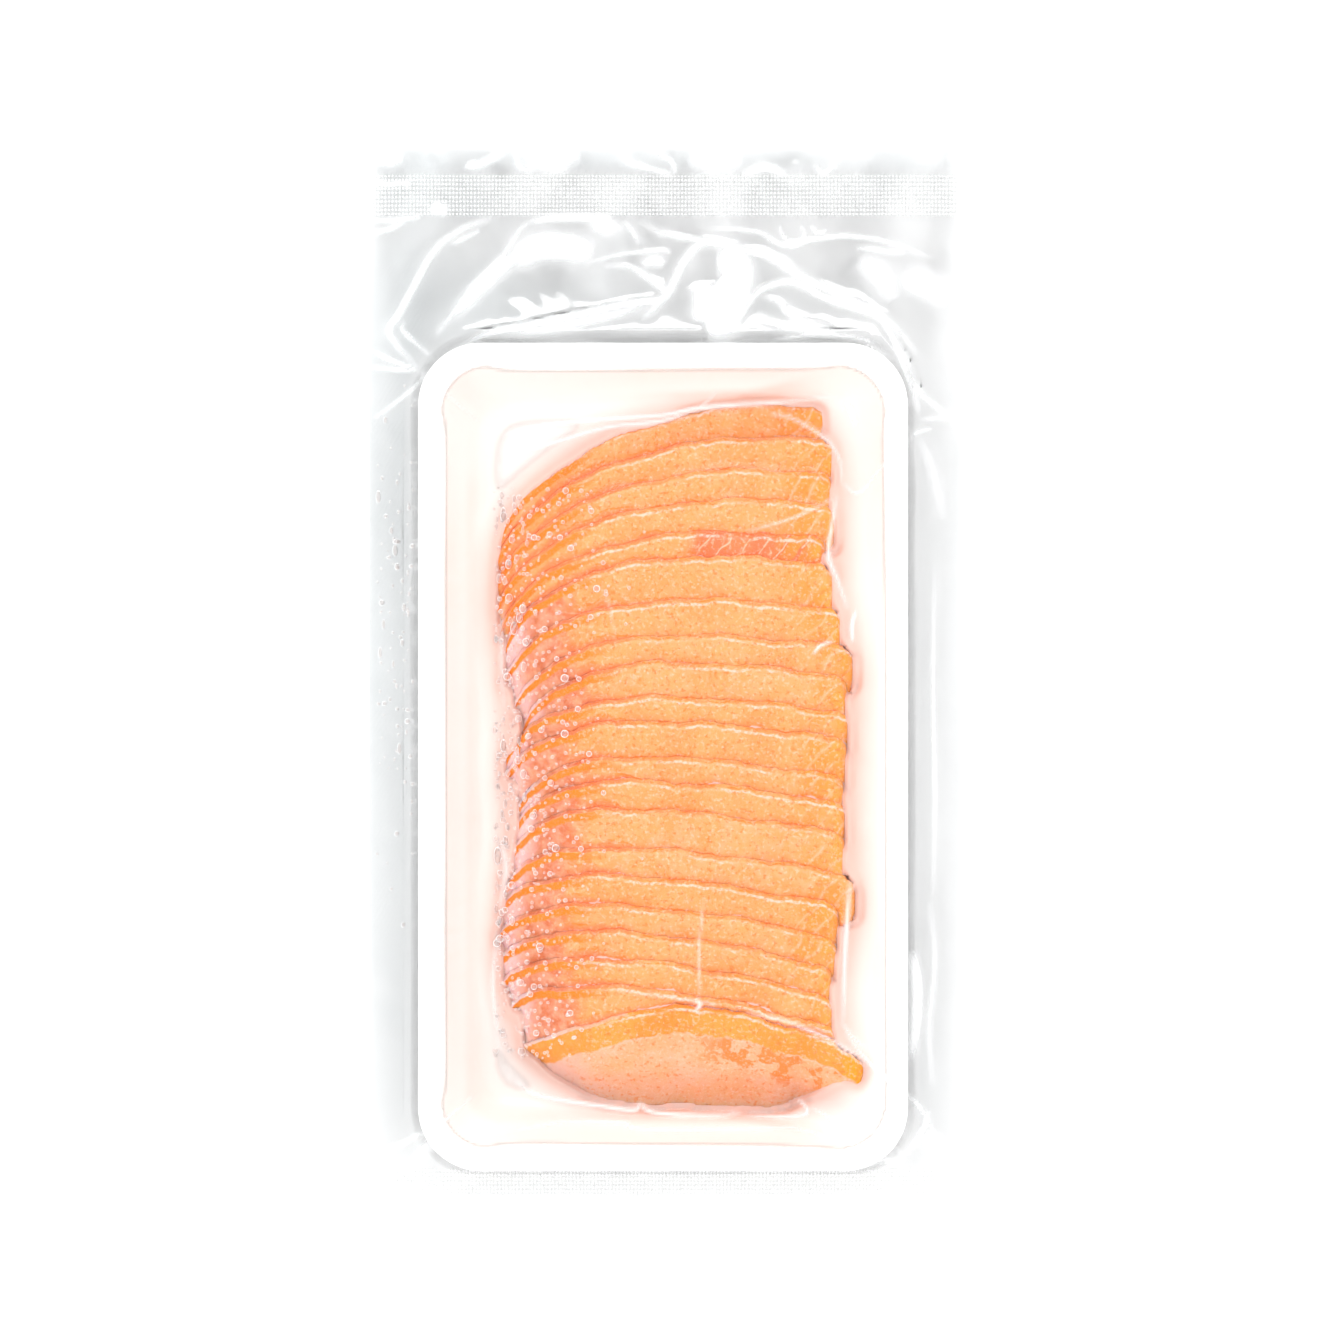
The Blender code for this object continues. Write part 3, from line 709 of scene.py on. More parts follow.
def flesh_material(colours, top):
    """Raw trout flesh: moist, pale peach and grainy on the cut face, coral where juice fills
    the step at its foot and painted shade darkens it, a saturated orange rim at the thin end, and
    yellow-orange blocks between white seams of tissue at the blunt end."""
    material, tree, out = new_material("raw_trout_flesh_top" if top else "raw_trout_flesh")
    place = add_node(tree, "ShaderNodeTexCoord").outputs["Object"]

    def number(label):
        return add_node(tree, "ShaderNodeAttribute", attribute_name=label).outputs["Fac"]

    def noise(size, detail=3.0, rough=0.55):
        made = add_node(tree, "ShaderNodeTexNoise", {
            "Vector": place, "Scale": 1 / (size * MM), "Detail": detail, "Roughness": rough})
        return made.outputs["Fac"]

    def both(*factors):
        total = factors[0]
        for factor in factors[1:]:
            total = reckoned(tree, "MULTIPLY", total, factor)
        return total

    def plus(first, second):
        return reckoned(tree, "ADD", first, second)

    left, right, down, crease, tone, wedge = [
        number(n) for n in ("left_mm", "right_mm", "down", "crease", "tone", "wedge")]
    # the grain is 0.3 mm in the real flesh, and drawn at about 1 mm so that it shows
    broad, middle, grain, fleck = noise(15), noise(3.2), noise(1.25, 4.0, 0.7), noise(0.95, 4.0, 0.75)
    ragged = reckoned(tree, "MULTIPLY_ADD", middle, 1.6)
    ragged.node.inputs[2].default_value = -0.8
    light, deep = list(colours.flesh_light), list(colours.flesh_deep)
    colour = mixed(tree, ranged(tree, broad, 0.35, 0.65), light, linear("#F3AC5C"))
    colour = mixed(tree, both(tone, ranged(tree, middle, 0.4, 0.7)), colour, linear("#F5BE80"))
    # the juicy step at the foot of the face: coral where juice fills it, with painted shade darkest
    # against the next crest
    edge = plus(crease, ragged)
    coral = ranged(tree, edge, 0.45, -0.45)
    coral = both(coral, ranged(tree, right, -1.0, 30.0, 0.75, 0.95))
    colour = mixed(tree, coral, colour, linear("#FFA25E"))
    # painted shade, deep in the crease near the thin end
    crease_shade = both(ranged(tree, edge, -0.6, -3.2), ranged(tree, left, 6.0, 20.0))
    crease_shade = both(crease_shade, ranged(tree, left, 55.0, 30.0), ranged(tree, middle, 0.3, 0.6, 0.4, 0.85))
    colour = mixed(tree, crease_shade, colour, linear("#E27C3E"))
    # a thin wet line where the film leaves the face
    line = ranged(tree, reckoned(tree, "ABSOLUTE", plus(edge, -0.35)), 0.42, 0.1)
    line = both(line, ranged(tree, noise(6), 0.42, 0.55), ranged(tree, left, 10.0, 24.0, 0.2, 0.85))
    colour = mixed(tree, line, colour, deep)
    # the whole wet face that shows between the fifth and sixth slices
    whole = both(wedge, ranged(tree, broad, 0.2, 0.7, 0.6, 0.95))
    colour = mixed(tree, whole, colour, linear("#EE7C4C"))
    # the thin left end: pinkish brown and see-through under the film, with a pale tip
    thin = both(ranged(tree, plus(left, both(ragged, 5.0)), 23.0, 14.0), ranged(tree, down, 0.9, 1.7))
    pink = mixed(tree, ranged(tree, middle, 0.35, 0.65), linear("#DA8450"), linear("#E8AE84"))
    pale = ranged(tree, plus(left, both(ragged, 3.0)), 9.0, 3.0, 0.0, 0.85)
    pink = mixed(tree, pale, pink, linear("#FAE2D8"))
    # painted shade: darker brown deep in the creases of the thin end
    thin_end_crease_shade = both(ranged(tree, edge, -1.0, -4.0), ranged(tree, left, 4.0, 11.0))
    pink = mixed(tree, thin_end_crease_shade, pink, linear("#D0703C"))
    colour = mixed(tree, both(thin, number("lower")), colour, pink)
    # the saturated orange rim along the crest of the thin end
    rim = ranged(tree, plus(down, both(ragged, 0.5)), 2.3, 1.6)
    rim = both(rim, ranged(tree, plus(left, both(ragged, 3.0)), 30.0, 20.0))
    colour = mixed(tree, both(rim, ranged(tree, down, -1.2, -0.7)), colour, linear("#F9931C"))
    # white seams of tissue about 5.5 mm apart, and the yellow-orange blocks between them
    parts = add_node(tree, "ShaderNodeSeparateXYZ", {0: place})
    bent = plus(parts.outputs["X"], both(down, 0.7 * MM))
    bent = plus(bent, both(noise(9, 1.0), 6 * MM))
    bent = plus(bent, both(tone, 7 * MM))
    wave = reckoned(tree, "ABSOLUTE", reckoned(tree, "SINE", both(bent, math.pi / (5.5 * MM))))
    blunt = ranged(tree, plus(right, both(ragged, 5.0)), 17.0, 8.0)
    block = both(blunt, ranged(tree, wave, 0.25, 0.5))
    block = both(block, ranged(tree, plus(broad, both(middle, 0.5)), 0.55, 0.85), 0.85)
    colour = mixed(tree, block, colour, linear("#F9A436"))
    tip = both(ranged(tree, right, 6.0, 1.5), ranged(tree, middle, 0.3, 0.6))
    colour = mixed(tree, tip, colour, linear("#F8B044"))
    seam = both(ranged(tree, wave, 0.22, 0.06), reckoned(tree, "MAXIMUM", blunt, wedge))
    seam = both(seam, ranged(tree, noise(5), 0.34, 0.5), plus(both(wedge, 0.35), 0.45))
    colour = mixed(tree, seam, colour, linear("#FFD6AE"))
    if top:
        # the top slice: a wet orange strip along its crest, hazy pink below with wet patches
        haze = ranged(tree, plus(down, both(ragged, 1.6)), 6.2, 7.0)
        strip = mixed(tree, ranged(tree, broad, 0.35, 0.65), linear("#F9AE44"), linear("#F8A032"))
        strip = mixed(tree, ranged(tree, right, 9.0, 4.0), strip, linear("#F7AC10"))
        hazy = mixed(tree, ranged(tree, broad, 0.35, 0.65), linear("#F8C496"), linear("#F7B87C"))
        pale = ranged(tree, plus(left, both(down, -0.4)), 22.0, 2.0, 0.0, 0.7)
        hazy = mixed(tree, pale, hazy, linear("#F8D6C6"))
        colour = mixed(tree, haze, strip, hazy)
        shown = ranged(tree, left, 42.0, 58.0)
        shown = both(shown, ranged(tree, plus(down, both(ragged, 2.0)), 17.0, 13.0))
        wet = both(haze, ranged(tree, noise(6.5, 4.0, 0.6), 0.5, 0.53), shown)
        colour = mixed(tree, wet, colour, linear("#F5953F"))
        away = reckoned(tree, "ABSOLUTE", plus(plus(down, both(ragged, 1.6)), -6.9))
        line = both(ranged(tree, away, 0.55, 0.15), ranged(tree, noise(7), 0.4, 0.55), 0.7)
        colour = mixed(tree, line, colour, linear("#FBCBA4"))
    # a pale ragged lip along each crest, and fine white and orange grains
    away = reckoned(tree, "ABSOLUTE", plus(plus(down, both(ragged, 0.5)), -0.2))
    lip = both(ranged(tree, away, 0.65, 0.25), ranged(tree, fleck, 0.42, 0.54, 0.3, 1.0))
    lip = both(lip, ranged(tree, left, 18.0, 30.0))
    lip = both(lip, ranged(tree, plus(noise(8), both(tone, -0.2)), 0.32, 0.5, 0.15, 0.9))
    colour = mixed(tree, lip, colour, linear("#FFE2CC"))
    rough = ranged(tree, plus(left, both(ragged, 6.0)), 8.0, 24.0, 0.35, 1.0)
    colour = mixed(tree, both(ranged(tree, fleck, 0.53, 0.62), rough, 0.62), colour, linear("#FFDDB6"))
    colour = mixed(tree, both(ranged(tree, grain, 0.45, 0.36), rough, 0.75), colour, linear("#F58A30"))
    # the colours above are as seen in bright light, and the flesh itself is a little darker
    colour = mixed(tree, 1.0, colour, (0.92, 0.79, 0.88), "MULTIPLY")
    height = plus(middle, grain)
    bump = add_node(tree, "ShaderNodeBump", {"Strength": 0.45, "Distance": 0.4 * MM, "Height": height})
    shader = add_node(tree, "ShaderNodeBsdfPrincipled", {
        "Base Color": colour, "Roughness": 0.45, "IOR": 1.38, "Specular IOR Level": 0.3,
        "Subsurface Weight": 0.4, "Subsurface Radius": (2.5 * MM, 1.1 * MM, 0.4 * MM),
        "Subsurface Scale": 1.0, "Normal": bump.outputs["Normal"]})
    tree.links.new(shader.outputs[0], out.inputs["Surface"])
    return material


def film_material(colours, name):
    """Laminated polyamide and polyethylene film: clear and glossy, faintly hazy, greyer where
    two layers lie together and where shade is painted on the margin, whiter along its creases with
    painted sheen there, with seals pressed in a cross-hatch."""
    material, tree, out = new_material(name)
    place = add_node(tree, "ShaderNodeTexCoord").outputs["Object"]

    def number(label):
        return add_node(tree, "ShaderNodeAttribute", attribute_name=label).outputs["Fac"]

    def ribs(pitch, angle):
        turned = add_node(tree, "ShaderNodeMapping", {
            "Vector": place, "Rotation": (0, 0, math.radians(angle)), "Scale": (1 / (pitch * MM),) * 3})
        parts = add_node(tree, "ShaderNodeSeparateXYZ", {0: turned.outputs[0]})
        return reckoned(tree, "SINE", reckoned(tree, "MULTIPLY", parts.outputs["X"], 2 * math.pi))

    grey, white, hatch = number("grey"), number("white"), number("hatch")
    # the seal's press marks and the film's channels are too fine to show at their real size, so
    # they are drawn coarser, at 1.5 mm and 1.15 mm
    seal = reckoned(tree, "MULTIPLY", ribs(1.5, 40), ribs(1.5, -40))
    pressed = reckoned(tree, "MULTIPLY", seal, hatch)
    # the margin's grey, which holds painted shade, darkens what the film lets through
    marks = reckoned(tree, "MULTIPLY", reckoned(tree, "MULTIPLY", ribs(1.15, 30), grey), 0.05)
    through = mixed(tree, reckoned(tree, "ADD", grey, marks), (0.985, 0.985, 0.985), colours.film)
    dots = reckoned(tree, "MULTIPLY", ranged(tree, pressed, 0.1, 0.5), 0.4)
    # the milky share: the creases' whitening with painted sheen, the seal's press marks and a faint haze
    milky_and_sheen = add_node(tree, "ShaderNodeMath", {
        0: reckoned(tree, "ADD", reckoned(tree, "MULTIPLY", white, 0.6), dots),
        1: 0.02}, operation="ADD", use_clamp=True)
    return glossy_film(material, tree, out, through, milky_and_sheen.outputs[0], 1.3)


def clear_film_material():
    """The same film wet on the food, where it shines less: its creases alone are white, with painted
    sheen along them.
    """
    material, tree, out = new_material("laminated_film_over_tray")
    white = add_node(tree, "ShaderNodeAttribute", attribute_name="white").outputs["Fac"]
    milky_and_sheen = add_node(
        tree, "ShaderNodeMath", {0: white, 1: 0.85, 2: 0.008}, operation="MULTIPLY_ADD",
        use_clamp=True)
    return glossy_film(material, tree, out, (0.985, 0.985, 0.985, 1), milky_and_sheen.outputs[0], 0.4)


def glossy_film(material, tree, out, through, milky_and_sheen, gloss_share):
    """Ends a film's material: what it lets through, what it scatters, and its gloss."""
    clear = add_node(tree, "ShaderNodeBsdfTransparent", {"Color": through})
    # the diffuse part is the film's faint haze, and painted sheen where the creases are white
    haze = add_node(tree, "ShaderNodeBsdfDiffuse", {"Color": (0.93, 0.94, 0.95, 1)})
    body = add_node(tree, "ShaderNodeMixShader", {0: milky_and_sheen, 1: clear.outputs[0], 2: haze.outputs[0]})
    gloss = add_node(
        tree, "ShaderNodeBsdfGlossy", {"Color": (1, 1, 1, 1), "Roughness": 0.14},
        distribution="GGX")
    facing = add_node(tree, "ShaderNodeFresnel", {"IOR": 1.5}).outputs[0]
    shine = add_node(
        tree, "ShaderNodeMath", {0: facing, 1: gloss_share}, operation="MULTIPLY", use_clamp=True)
    surface = add_node(tree, "ShaderNodeMixShader", {
        0: shine.outputs[0], 1: body.outputs[0], 2: gloss.outputs[0]})
    tree.links.new(surface.outputs[0], out.inputs["Surface"])
    return material


def juice_material():
    """Fish juice: watery, cloudy and pink, densest beside the slices and near white at the walls."""
    material, tree, out = new_material("fish_juice")
    wet, cover = [
        add_node(tree, "ShaderNodeAttribute", attribute_name=label).outputs["Fac"]
        for label in ("wet", "cover")]
    place = add_node(tree, "ShaderNodeTexCoord").outputs["Object"]
    cloud = add_node(tree, "ShaderNodeTexNoise", {
        "Vector": place, "Scale": 1 / (9 * MM), "Detail": 3.0}).outputs["Fac"]
    tint = mixed(tree, cloud, linear("#DCAFA1"), linear("#E4C0B4"))
    tint = mixed(tree, ranged(tree, wet, 0.1, 1.05), linear("#EBE4E0"), tint)
    clear = add_node(tree, "ShaderNodeBsdfTransparent", {"Color": (1, 1, 1, 1)})
    body = add_node(tree, "ShaderNodeBsdfPrincipled", {
        "Base Color": tint, "Roughness": 0.2, "IOR": 1.34})
    surface = add_node(tree, "ShaderNodeMixShader", {0: cover, 1: clear.outputs[0], 2: body.outputs[0]})
    tree.links.new(surface.outputs[0], out.inputs["Surface"])
    return material


def water_material():
    """Drops of condensed water: clear in the middle, with a painted reflection as a bright rim round
    their steep sides.
    """
    material, tree, out = new_material("condensed_water")
    facing = add_node(tree, "ShaderNodeLayerWeight", {"Blend": 0.5}).outputs["Facing"]
    clear = add_node(tree, "ShaderNodeBsdfTransparent", {"Color": (0.97, 0.94, 0.93, 1)})
    bright = add_node(tree, "ShaderNodeBsdfDiffuse", {"Color": (0.97, 0.98, 1, 1)})
    gloss = add_node(
        tree, "ShaderNodeBsdfGlossy", {"Color": (1, 1, 1, 1), "Roughness": 0.03},
        distribution="GGX")
    # a white diffuse rim is the painted reflection on the drops' steep sides
    ring = add_node(tree, "ShaderNodeMixShader", {
        0: ranged(tree, facing, 0.25, 0.42), 1: clear.outputs[0], 2: bright.outputs[0]})
    surface = add_node(tree, "ShaderNodeMixShader", {0: 0.12, 1: ring.outputs[0], 2: gloss.outputs[0]})
    tree.links.new(surface.outputs[0], out.inputs["Surface"])
    return material


# ---- Pieces ----

class PACK_OT_tray(bpy.types.Operator):
    """Adds the foam tray, with its rolled rim and sloping walls."""

    bl_idname = "pack.tray"
    bl_label = "Foam tray"

    def execute(self, context):
        sizes = context.scene.pack_sizes
        width, length = sizes.tray_width / MM, sizes.tray_length / MM
        inner = [(inset, z - 0.15) for inset, z in zip(TRAY_INSETS, TRAY_HEIGHTS)][1:]
        profile = inner[::-1] + list(TRAY_UNDER)
        turns = np.linspace(0, 2 * math.pi, 201)
        rows = []
        for inset, z in profile:
            radius = TRAY_CORNER - CORNER_SHRINK * inset
            rows.append(rounded_loop(width / 2 - inset, length / 2 - inset, radius, turns, z))
        tray = grid_piece("foam_tray", np.array(rows), closed=True)
        place_piece(tray, foam_material(context.scene.pack_colours))
        return {"FINISHED"}


def rounded_loop(half_x, half_y, radius, turns, z):
    """Points round a rectangle with round corners: a quarter of the turns goes to each corner
    and the side after it."""
    share = turns / (2 * math.pi) * 4
    corner = np.minimum(share.astype(int), 3)
    within = share - corner
    bend = np.clip(within / 0.45, 0, 1) * math.pi / 2
    run = np.clip((within - 0.45) / 0.55, 0, 1)
    points = []
    signs = ((1, -1, 0, 1), (1, 1, -1, 0), (-1, 1, 0, -1), (-1, -1, 1, 0))
    for k, b, r in zip(corner, bend, run):
        sx, sy, ax, ay = signs[k]
        start = math.radians(90 * k - 90) + b
        side = 2 * (half_y if ay else half_x) - 2 * radius
        points.append((
            TRAY_CENTRE[0] + sx * (half_x - radius) + radius * math.cos(start) + ax * r * side,
            TRAY_CENTRE[1] + sy * (half_y - radius) + radius * math.sin(start) + ay * r * side,
            z))
    return points


class PACK_OT_slices(bpy.types.Operator):
    """Adds the slices, each a slab that leans on the one before it."""

    bl_idname = "pack.slices"
    bl_label = "Trout slices"

    def execute(self, context):
        forms = shared(context)
        colours = context.scene.pack_colours
        plain, top = flesh_material(colours, False), flesh_material(colours, True)
        draw = np.random.default_rng(17)
        for number in range(SLICES):
            last = number == SLICES - 1
            places, values = slab(forms["facts"], number, forms["floor"])
            values["tone"] = draw.uniform(0, 1)
            piece = grid_piece(f"trout_slice_{number + 1:02d}", places, values, closed=True)
            place_piece(piece, top if last else plain)
        return {"FINISHED"}


def crease_width(fact, number, x):
    """How wide the juicy step and its painted shade show above the next crest: widest near the thin left
    end.
    """
    from_left = x - fact["left"]
    width = 0.45 + 0.6 * ripple(x, fact["seed"] + 500, 27)
    if number < 6:
        width = width + 2.3 * (1 - smooth_step(18, 62, from_left))
    else:
        width = width + 2.6 * (1 - smooth_step(20, 42, from_left))
    return np.maximum(width, 0.0)


def slab(facts, number, floor):
    """Rings of points round one slice, from its left tip to its blunt right end, with numbers
    for its material: mm from its two ends, mm below the crest behind, mm above the juicy step
    and its painted shade."""
    fact = facts[number]
    even = np.linspace(0, 1, SLICE_COLUMNS)
    share = 0.55 * even + 0.45 * (1 - np.cos(math.pi * even)) / 2
    x = fact["left"] + 0.05 + (fact["right"] - fact["left"] - 0.1) * share
    crest_y, crest_z, crease_y, crease_z = pile_lines(facts, x, floor)
    y, z = crest_y[number], crest_z[number]
    base = floor + 0.05
    z = np.maximum(z, base + 0.3)
    end_y, _ = last_face(facts[-1], x, crest_y[-1], crest_z[-1], floor, (1.0,))
    feet = hidden_feet(crease_y, crease_z, base, end_y[0])
    if number == 0:
        back_y, back_z = y + STEP_RUN, np.full_like(y, base)
        back_foot, behind_y = back_y - 0.2, y + 8
    else:
        back_y, back_z = crease_y[number - 1], np.maximum(crease_z[number - 1] + 0.03, base)
        back_foot, behind_y = feet[number - 1] + 0.1, crest_y[number - 1]
    own_width = crease_width(fact, number, x)
    behind_width = crease_width(facts[max(number - 1, 0)], max(number - 1, 0), x)
    ahead_y = crest_y[number + 1] if number < SLICES - 1 else y - 60

    def face(row_y, row_z):
        return row_y, row_z, y - row_y, row_y - ahead_y - own_width

    def edge(row_y, row_z):
        return row_y, row_z, behind_y - row_y, row_y - y - behind_width

    ring = [face(y, z)]
    if number == SLICES - 1:
        shares = np.linspace(0, 1, 19)[1:]
        rows_y, rows_z = last_face(fact, x, y, z, floor, shares)
        for share_down, row_y, row_z in zip(shares, rows_y, rows_z):
            uneven = 0.2 * ripple(x + 2 * row_y, 77, 19) * math.sin(math.pi * share_down)
            ring.append(face(row_y, np.maximum(row_z + uneven, base)))
        front_foot = rows_y[-1] + 0.3
    else:
        end_y, shut = closed_off(facts, number, x, y, crease_y[number])
        end_z = np.maximum(crease_z[number], base)
        for t in np.linspace(0, 1, FACE_ROWS + 1)[1:]:
            swell = 4 * t * (1 - t)
            uneven = 0.16 * ripple(x + 9 * t, fact["seed"] + 400, 15) * math.sin(math.pi * t)
            row_z = z + (end_z - z) * t + FACE_BULGE * swell + uneven
            ring.append(face(y + (end_y - y) * t, np.maximum(row_z, base)))
        front_foot = np.minimum(feet[number], back_foot - 0.3)
        front_foot = front_foot + np.maximum(end_y - 0.4 - front_foot, 0) * shut
        for t in (0.4, 0.8):
            ring.append(face(end_y + (front_foot - end_y) * t, end_z + (base - end_z) * t))
    ring.append(face(front_foot, np.full_like(y, base)))
    ring.append(edge(np.maximum(back_foot, front_foot + 0.3), np.full_like(y, base)))
    ring.append(edge((back_foot + back_y) / 2, (base + back_z) / 2))
    ring.append(edge(back_y, back_z))
    for t in (0.3, 0.6, 0.85):
        round_off = 0.25 * math.sin(math.pi * t)
        ring.append(edge(back_y + (y - back_y) * t + round_off, back_z + (z - back_z) * t))
    ring.append(face(y, z))
    places = np.array([np.stack([x, row[0], row[1]], 1) for row in ring])
    wide = places.shape[:2]
    wedge = smooth_step(WET_FROM - 5, WET_FROM + 3, x) * smooth_step(WET_TO + 2, WET_TO - 2, x)
    wedge = (number == WET_SLICE) * wedge
    values = {
        "left_mm": np.broadcast_to(x - fact["left"], wide).T,
        "right_mm": np.broadcast_to(fact["right"] - x, wide).T,
        "down": np.array([row[2] for row in ring]).T,
        "crease": np.array([row[3] for row in ring]).T,
        "wedge": np.broadcast_to(wedge, wide).T,
        "lower": float(number > 4),
    }
    return places.transpose(1, 0, 2), values


def closed_off(facts, number, x, y, end_y):
    """Where one slice's face ends: it closes to a point at the left, where the next slice
    doesn't reach so far. Also how far it is shut there."""
    fact, ahead = facts[number], facts[number + 1]
    tip = y - 0.4 - 0.9 * (x - fact["left"])
    left = smooth_step(ahead["left"] + 2.5, ahead["left"] - 0.5, x)
    return end_y + (np.maximum(tip, end_y) - end_y) * left, left


def hidden_feet(crease_y, crease_z, base, end_y):
    """Where each slice's hidden face meets the tray's floor: in order, and behind the end of
    the last slice's face."""
    feet = []
    for number, (y, z) in enumerate(zip(crease_y, crease_z)):
        foot = y - np.maximum(z - base, 0.1) / HIDDEN_SLOPE
        foot = np.maximum(foot, end_y + 0.5 + 0.35 * (SLICES - 2 - number))
        if feet:
            foot = np.minimum(foot, feet[-1] - 0.3)
        feet.append(np.minimum(foot, y - 0.05))
    return feet


class PACK_OT_juice(bpy.types.Operator):
    """Adds the thin pink juice that the vacuum draws up under the film round the slices."""

    bl_idname = "pack.juice"
    bl_label = "Juice"

    def execute(self, context):
        forms = shared(context)
        x, y, inset = forms["x"], forms["y"], forms["inset"]
        near = blurred((forms["pile"] > forms["floor"] - 0.5).astype(float), 10)
        wide = blurred(near, 450)
        side = smooth_step(15, 45, x) * smooth_step(-100, -80, y) * smooth_step(70, 55, y)
        along_left = smooth_step(75, 45, y) * smooth_step(0, 20, -x)
        wall = 5 * smooth_step(20, 45, x)
        wet = np.clip(np.maximum(near + 2.1 * wide, 0.42 * along_left), 0, 1) * (0.88 + 0.12 * side)
        wet = wet * smooth_step(10 - wall, 14 - wall, inset)
        gap = forms["film"] - forms["tray"]
        cover = smooth_step(0.05, 0.6, gap) * smooth_step(JUICE_INSET, JUICE_INSET + 0.8, inset)
        rows, columns = inner_window(forms, JUICE_INSET)
        places = np.stack([x, y, juice_height(forms, near)], 2)[rows, columns]
        values = {"wet": wet[rows, columns], "cover": cover[rows, columns]}
        piece = grid_piece("fish_juice", places, values)
        place_piece(piece, juice_material())
        return {"FINISHED"}


def juice_height(forms, near):
    """How high the juice stands: level with the slices' edge beside them, just under their
    faces where they lie, and just under the film where it bridges the tray's corners. near is
    1 on the slices and falls to 0 beside them."""
    film, pile = forms["film"], forms["pile"]
    level = pile
    for _ in range(JUICE_REACH):
        level = widened(level)
    filled = level
    for _ in range(JUICE_REACH):
        filled = -widened(-filled)
    beside = np.minimum(film - FILM_CLEARANCE, blurred(level, 2) - UNDER_EDGE)
    below = np.maximum(pile - UNDER_FACE, filled - UNDER_NOTCH)
    z = beside + (below - beside) * smooth_step(0.55, 0.85, near)
    z = z + (film - FILM_CLEARANCE - z) * smooth_step(0.35, 0.1, near)
    return np.maximum(np.minimum(z, film - 0.05), forms["tray"] - 0.05)


def blurred(field, times):
    """A field spread out evenly by repeated averaging."""
    for _ in range(times):
        field = np.pad(field, 1, mode="edge")
        field = (field[:-2, 1:-1] + field[2:, 1:-1] + field[1:-1, :-2] + field[1:-1, 2:]
                 + 2 * field[1:-1, 1:-1]) / 6
    return field


def inner_window(forms, inset):
    """The rows and columns of the grid that span the tray's recess."""
    inside = forms["inset"] > inset
    rows, columns = np.nonzero(inside.any(1))[0], np.nonzero(inside.any(0))[0]
    return slice(rows[0], rows[-1] + 1), slice(columns[0], columns[-1] + 1)


class PACK_OT_film(bpy.types.Operator):
    """Adds the bag's two films: the top one drawn down on the food, the lower one round the tray."""

    bl_idname = "pack.film"
    bl_label = "Film"

    def execute(self, context):
        forms = shared(context)
        colours = context.scene.pack_colours
        x, y, inset = forms["x"], forms["y"], forms["inset"]
        top, white, grey = forms["top"], forms["white"], forms["grey"]
        hatch = smooth_step(-0.4, 0.4, y - TOP_SEAL[0]) * smooth_step(-0.4, 0.4, TOP_SEAL[1] - y)
        hatch = hatch + smooth_step(-0.4, 0.4, FOOT_SEAL[1] - y)
        values = {"white": white, "grey": grey, "hatch": hatch}
        piece = grid_piece("top_film", np.stack([x, y, top], 2), values)
        material = film_material(colours, "laminated_vacuum_film")
        place_piece(piece, material)
        piece.data.materials.append(clear_film_material())
        centres = np.empty(3 * len(piece.data.polygons))
        piece.data.polygons.foreach_get("center", centres)
        centres = centres.reshape(-1, 3) / MM
        sizes = context.scene.pack_sizes
        tray = sizes.tray_width / MM, sizes.tray_length / MM
        inside = tray_inset(centres[:, 0], centres[:, 1], *tray) > 1
        piece.data.polygons.foreach_set("material_index", inside.astype(np.int32))
        inner = top - FILM_THICKNESS
        under = np.minimum(np.interp(inset, LOWER_INSETS, LOWER_HEIGHTS), inner)
        under = np.where(inset < -MARGIN_START, inner, under)
        low = np.stack([x, y, np.maximum(under, np.where(inset > 0, 0.05, 0.1))], 2)
        # every second row and column are enough for the lower film
        columns, rows = [[0, *range(1, count - 1, 2), count - 1] for count in FILM_GRID]
        pick = np.ix_(rows, columns)
        # the lower film carries part of the top film's grey, painted shade among it
        values = {"white": 0.0, "grey": 0.3 * grey[pick], "hatch": 0.0}
        piece = grid_piece("lower_film", low[pick], values)
        bm = bmesh.new()
        bm.from_mesh(piece.data)
        bmesh.ops.reverse_faces(bm, faces=bm.faces)
        bm.to_mesh(piece.data)
        bm.free()
        place_piece(piece, material)
        return {"FINISHED"}


class PACK_OT_dew(bpy.types.Operator):
    """Adds the drops of condensation on the film over the slices' thin ends."""

    bl_idname = "pack.dew"
    bl_label = "Dew"

    def execute(self, context):
        forms = shared(context)
        draw = np.random.default_rng(5)
        bm = bmesh.new()
        bmesh.ops.create_uvsphere(bm, u_segments=10, v_segments=6, radius=1)
        drop = bpy.data.meshes.new("drop")
        bm.to_mesh(drop)
        bm.clear()
        for _ in range(context.scene.pack_sizes.dew_drops):
            if draw.uniform() < DEW_ON_SLICES:
                x, y = -47 + abs(draw.normal(0, 13)), draw.uniform(-106, 50)
            else:
                x, y = draw.uniform(-79, -69), draw.normal(10, 32)
            radius = min(DEW_LEAST + draw.exponential(DEW_EXTRA), DEW_MOST)
            runs = radius > 0.35 and x < -38 and y > -70
            long_side = radius * (1 + 0.8 * max(draw.normal(), 0) * runs)
            column = int(np.clip(np.searchsorted(forms["gx"], x), 1, FILM_GRID[0] - 2))
            row = int(np.clip(np.searchsorted(forms["gy"], y), 1, FILM_GRID[1] - 2))
            height = forms["top"][row, column] + 0.1
            shape = Matrix.Diagonal((radius * MM, long_side * MM, 0.6 * radius * MM, 1))
            put = Matrix.Translation((x * MM, y * MM, height * MM)) @ shape
            drop.transform(put)
            bm.from_mesh(drop)
            drop.transform(put.inverted())
        bpy.data.meshes.remove(drop)
        piece = gathered("dew_drops", bm)
        place_piece(piece, water_material())
        return {"FINISHED"}


# ---- Stage ----

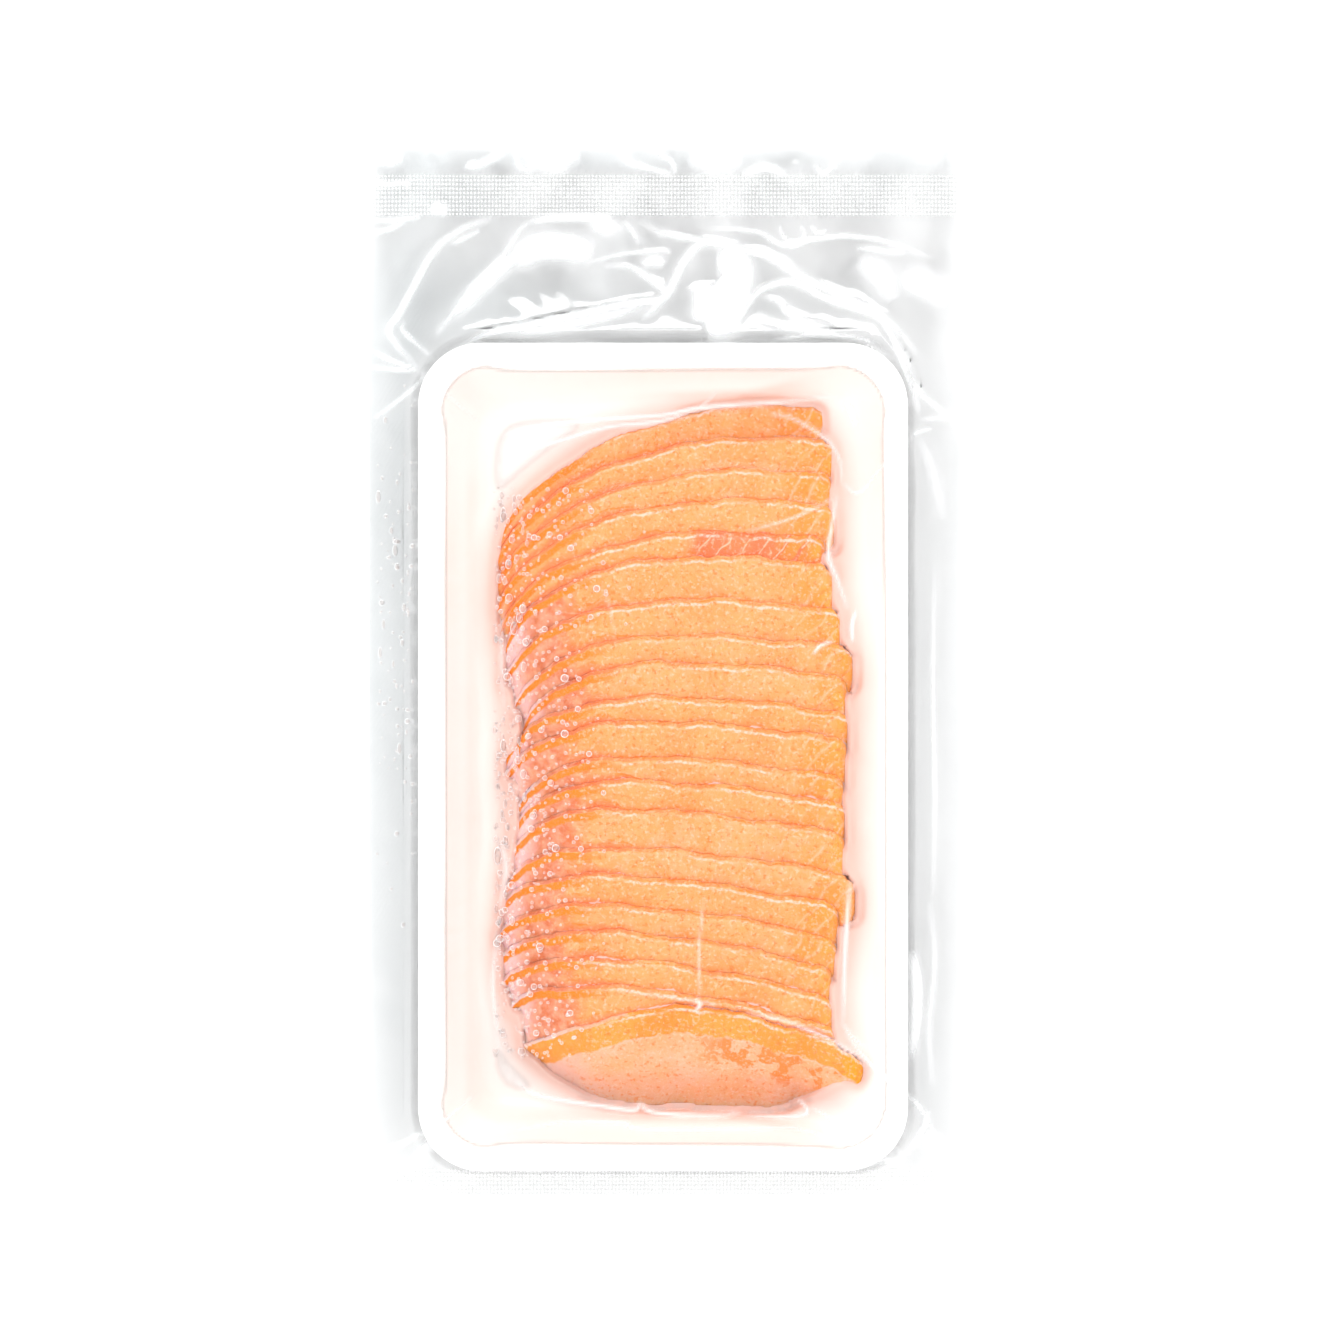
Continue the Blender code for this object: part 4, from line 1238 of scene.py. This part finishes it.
class PACK_OT_stage(bpy.types.Operator):
    """Adds the pale floor, the studio light and the camera straight above the pack."""

    bl_idname = "pack.stage"
    bl_label = "Studio"

    def execute(self, context):
        scene = context.scene
        studio = scene.pack_studio
        bm = bmesh.new()
        bmesh.ops.create_grid(bm, x_segments=1, y_segments=1, size=2.5)
        floor = gathered("studio_floor", bm)
        material, tree, out = new_material("white_paper_sweep")
        shader = add_node(tree, "ShaderNodeBsdfPrincipled", {
            "Base Color": (0.9, 0.9, 0.9, 1), "Roughness": 0.9, "Specular IOR Level": 0.0})
        tree.links.new(shader.outputs[0], out.inputs["Surface"])
        floor.data.materials.append(material)
        world = bpy.data.worlds.new("studio_dome")
        world.use_nodes = True
        back = world.node_tree.nodes["Background"]
        back.inputs["Color"].default_value = (1, 1, 1, 1)
        back.inputs["Strength"].default_value = studio.dome
        scene.world = world
        boxes = (
            ("softbox_left", (-1.05, 0.25, 1.25), (0.55, 0.9), 7.5),
            ("softbox_right", (1.0, 0.35, 1.35), (0.5, 0.8), 7.0),
            ("softbox_head", (0.15, 1.45, 0.85), (0.9, 0.45), 6.5),
            ("softbox_foot", (-0.2, -1.5, 0.8), (0.8, 0.4), 6.5),
        )
        for name, place, (wide, long), power in boxes:
            light = bpy.data.lights.new(name, "AREA")
            light.shape = "RECTANGLE"
            light.size, light.size_y = wide, long
            light.energy = power * studio.softbox
            lamp = bpy.data.objects.new(name, light)
            scene.collection.objects.link(lamp)
            lamp.location = place
            lamp.visible_glossy = name == "softbox_head"
            lamp.rotation_euler = (-lamp.location).to_track_quat("-Z", "Y").to_euler()
        camera = bpy.data.cameras.new("camera_above")
        spot = bpy.data.objects.new("camera_above", camera)
        scene.collection.objects.link(spot)
        spot.location = (*[c * MM for c in at(FRAME_PIXELS / 2, FRAME_PIXELS / 2)], studio.camera_height)
        camera.sensor_width = 36
        camera.lens = 36 * (studio.camera_height - 0.02) / (FRAME_PIXELS * PIXEL * MM)
        scene.camera = spot
        scene.view_settings.view_transform = "Standard"
        scene.view_settings.look = "None"
        return {"FINISHED"}


class PACK_PT_panel(bpy.types.Panel):
    """Lists the pack's sizes, colours and pieces."""

    bl_idname = "PACK_PT_panel"
    bl_label = "Trout pack"
    bl_space_type = "VIEW_3D"
    bl_region_type = "UI"
    bl_category = "Trout pack"

    def draw(self, context):
        column = self.layout.column()
        scene = context.scene
        for settings in (scene.pack_sizes, scene.pack_colours, scene.pack_studio):
            for name in type(settings).__annotations__:
                column.prop(settings, name)
        for operator in OPERATORS:
            column.operator(operator.bl_idname)


OPERATORS = (PACK_OT_tray, PACK_OT_slices, PACK_OT_juice, PACK_OT_film, PACK_OT_dew, PACK_OT_stage)
CLASSES = (PackSizes, PackColours, StudioSettings, *OPERATORS, PACK_PT_panel)


def register():
    for cls in CLASSES:
        bpy.utils.register_class(cls)
    bpy.types.Scene.pack_sizes = PointerProperty(type=PackSizes)
    bpy.types.Scene.pack_colours = PointerProperty(type=PackColours)
    bpy.types.Scene.pack_studio = PointerProperty(type=StudioSettings)


def unregister():
    del bpy.types.Scene.pack_studio
    del bpy.types.Scene.pack_colours
    del bpy.types.Scene.pack_sizes
    for cls in reversed(CLASSES):
        bpy.utils.unregister_class(cls)


def main():
    register()
    bpy.ops.pack.tray()
    bpy.ops.pack.slices()
    bpy.ops.pack.juice()
    bpy.ops.pack.film()
    bpy.ops.pack.dew()
    bpy.ops.pack.stage()


if __name__ == "__main__":
    main()
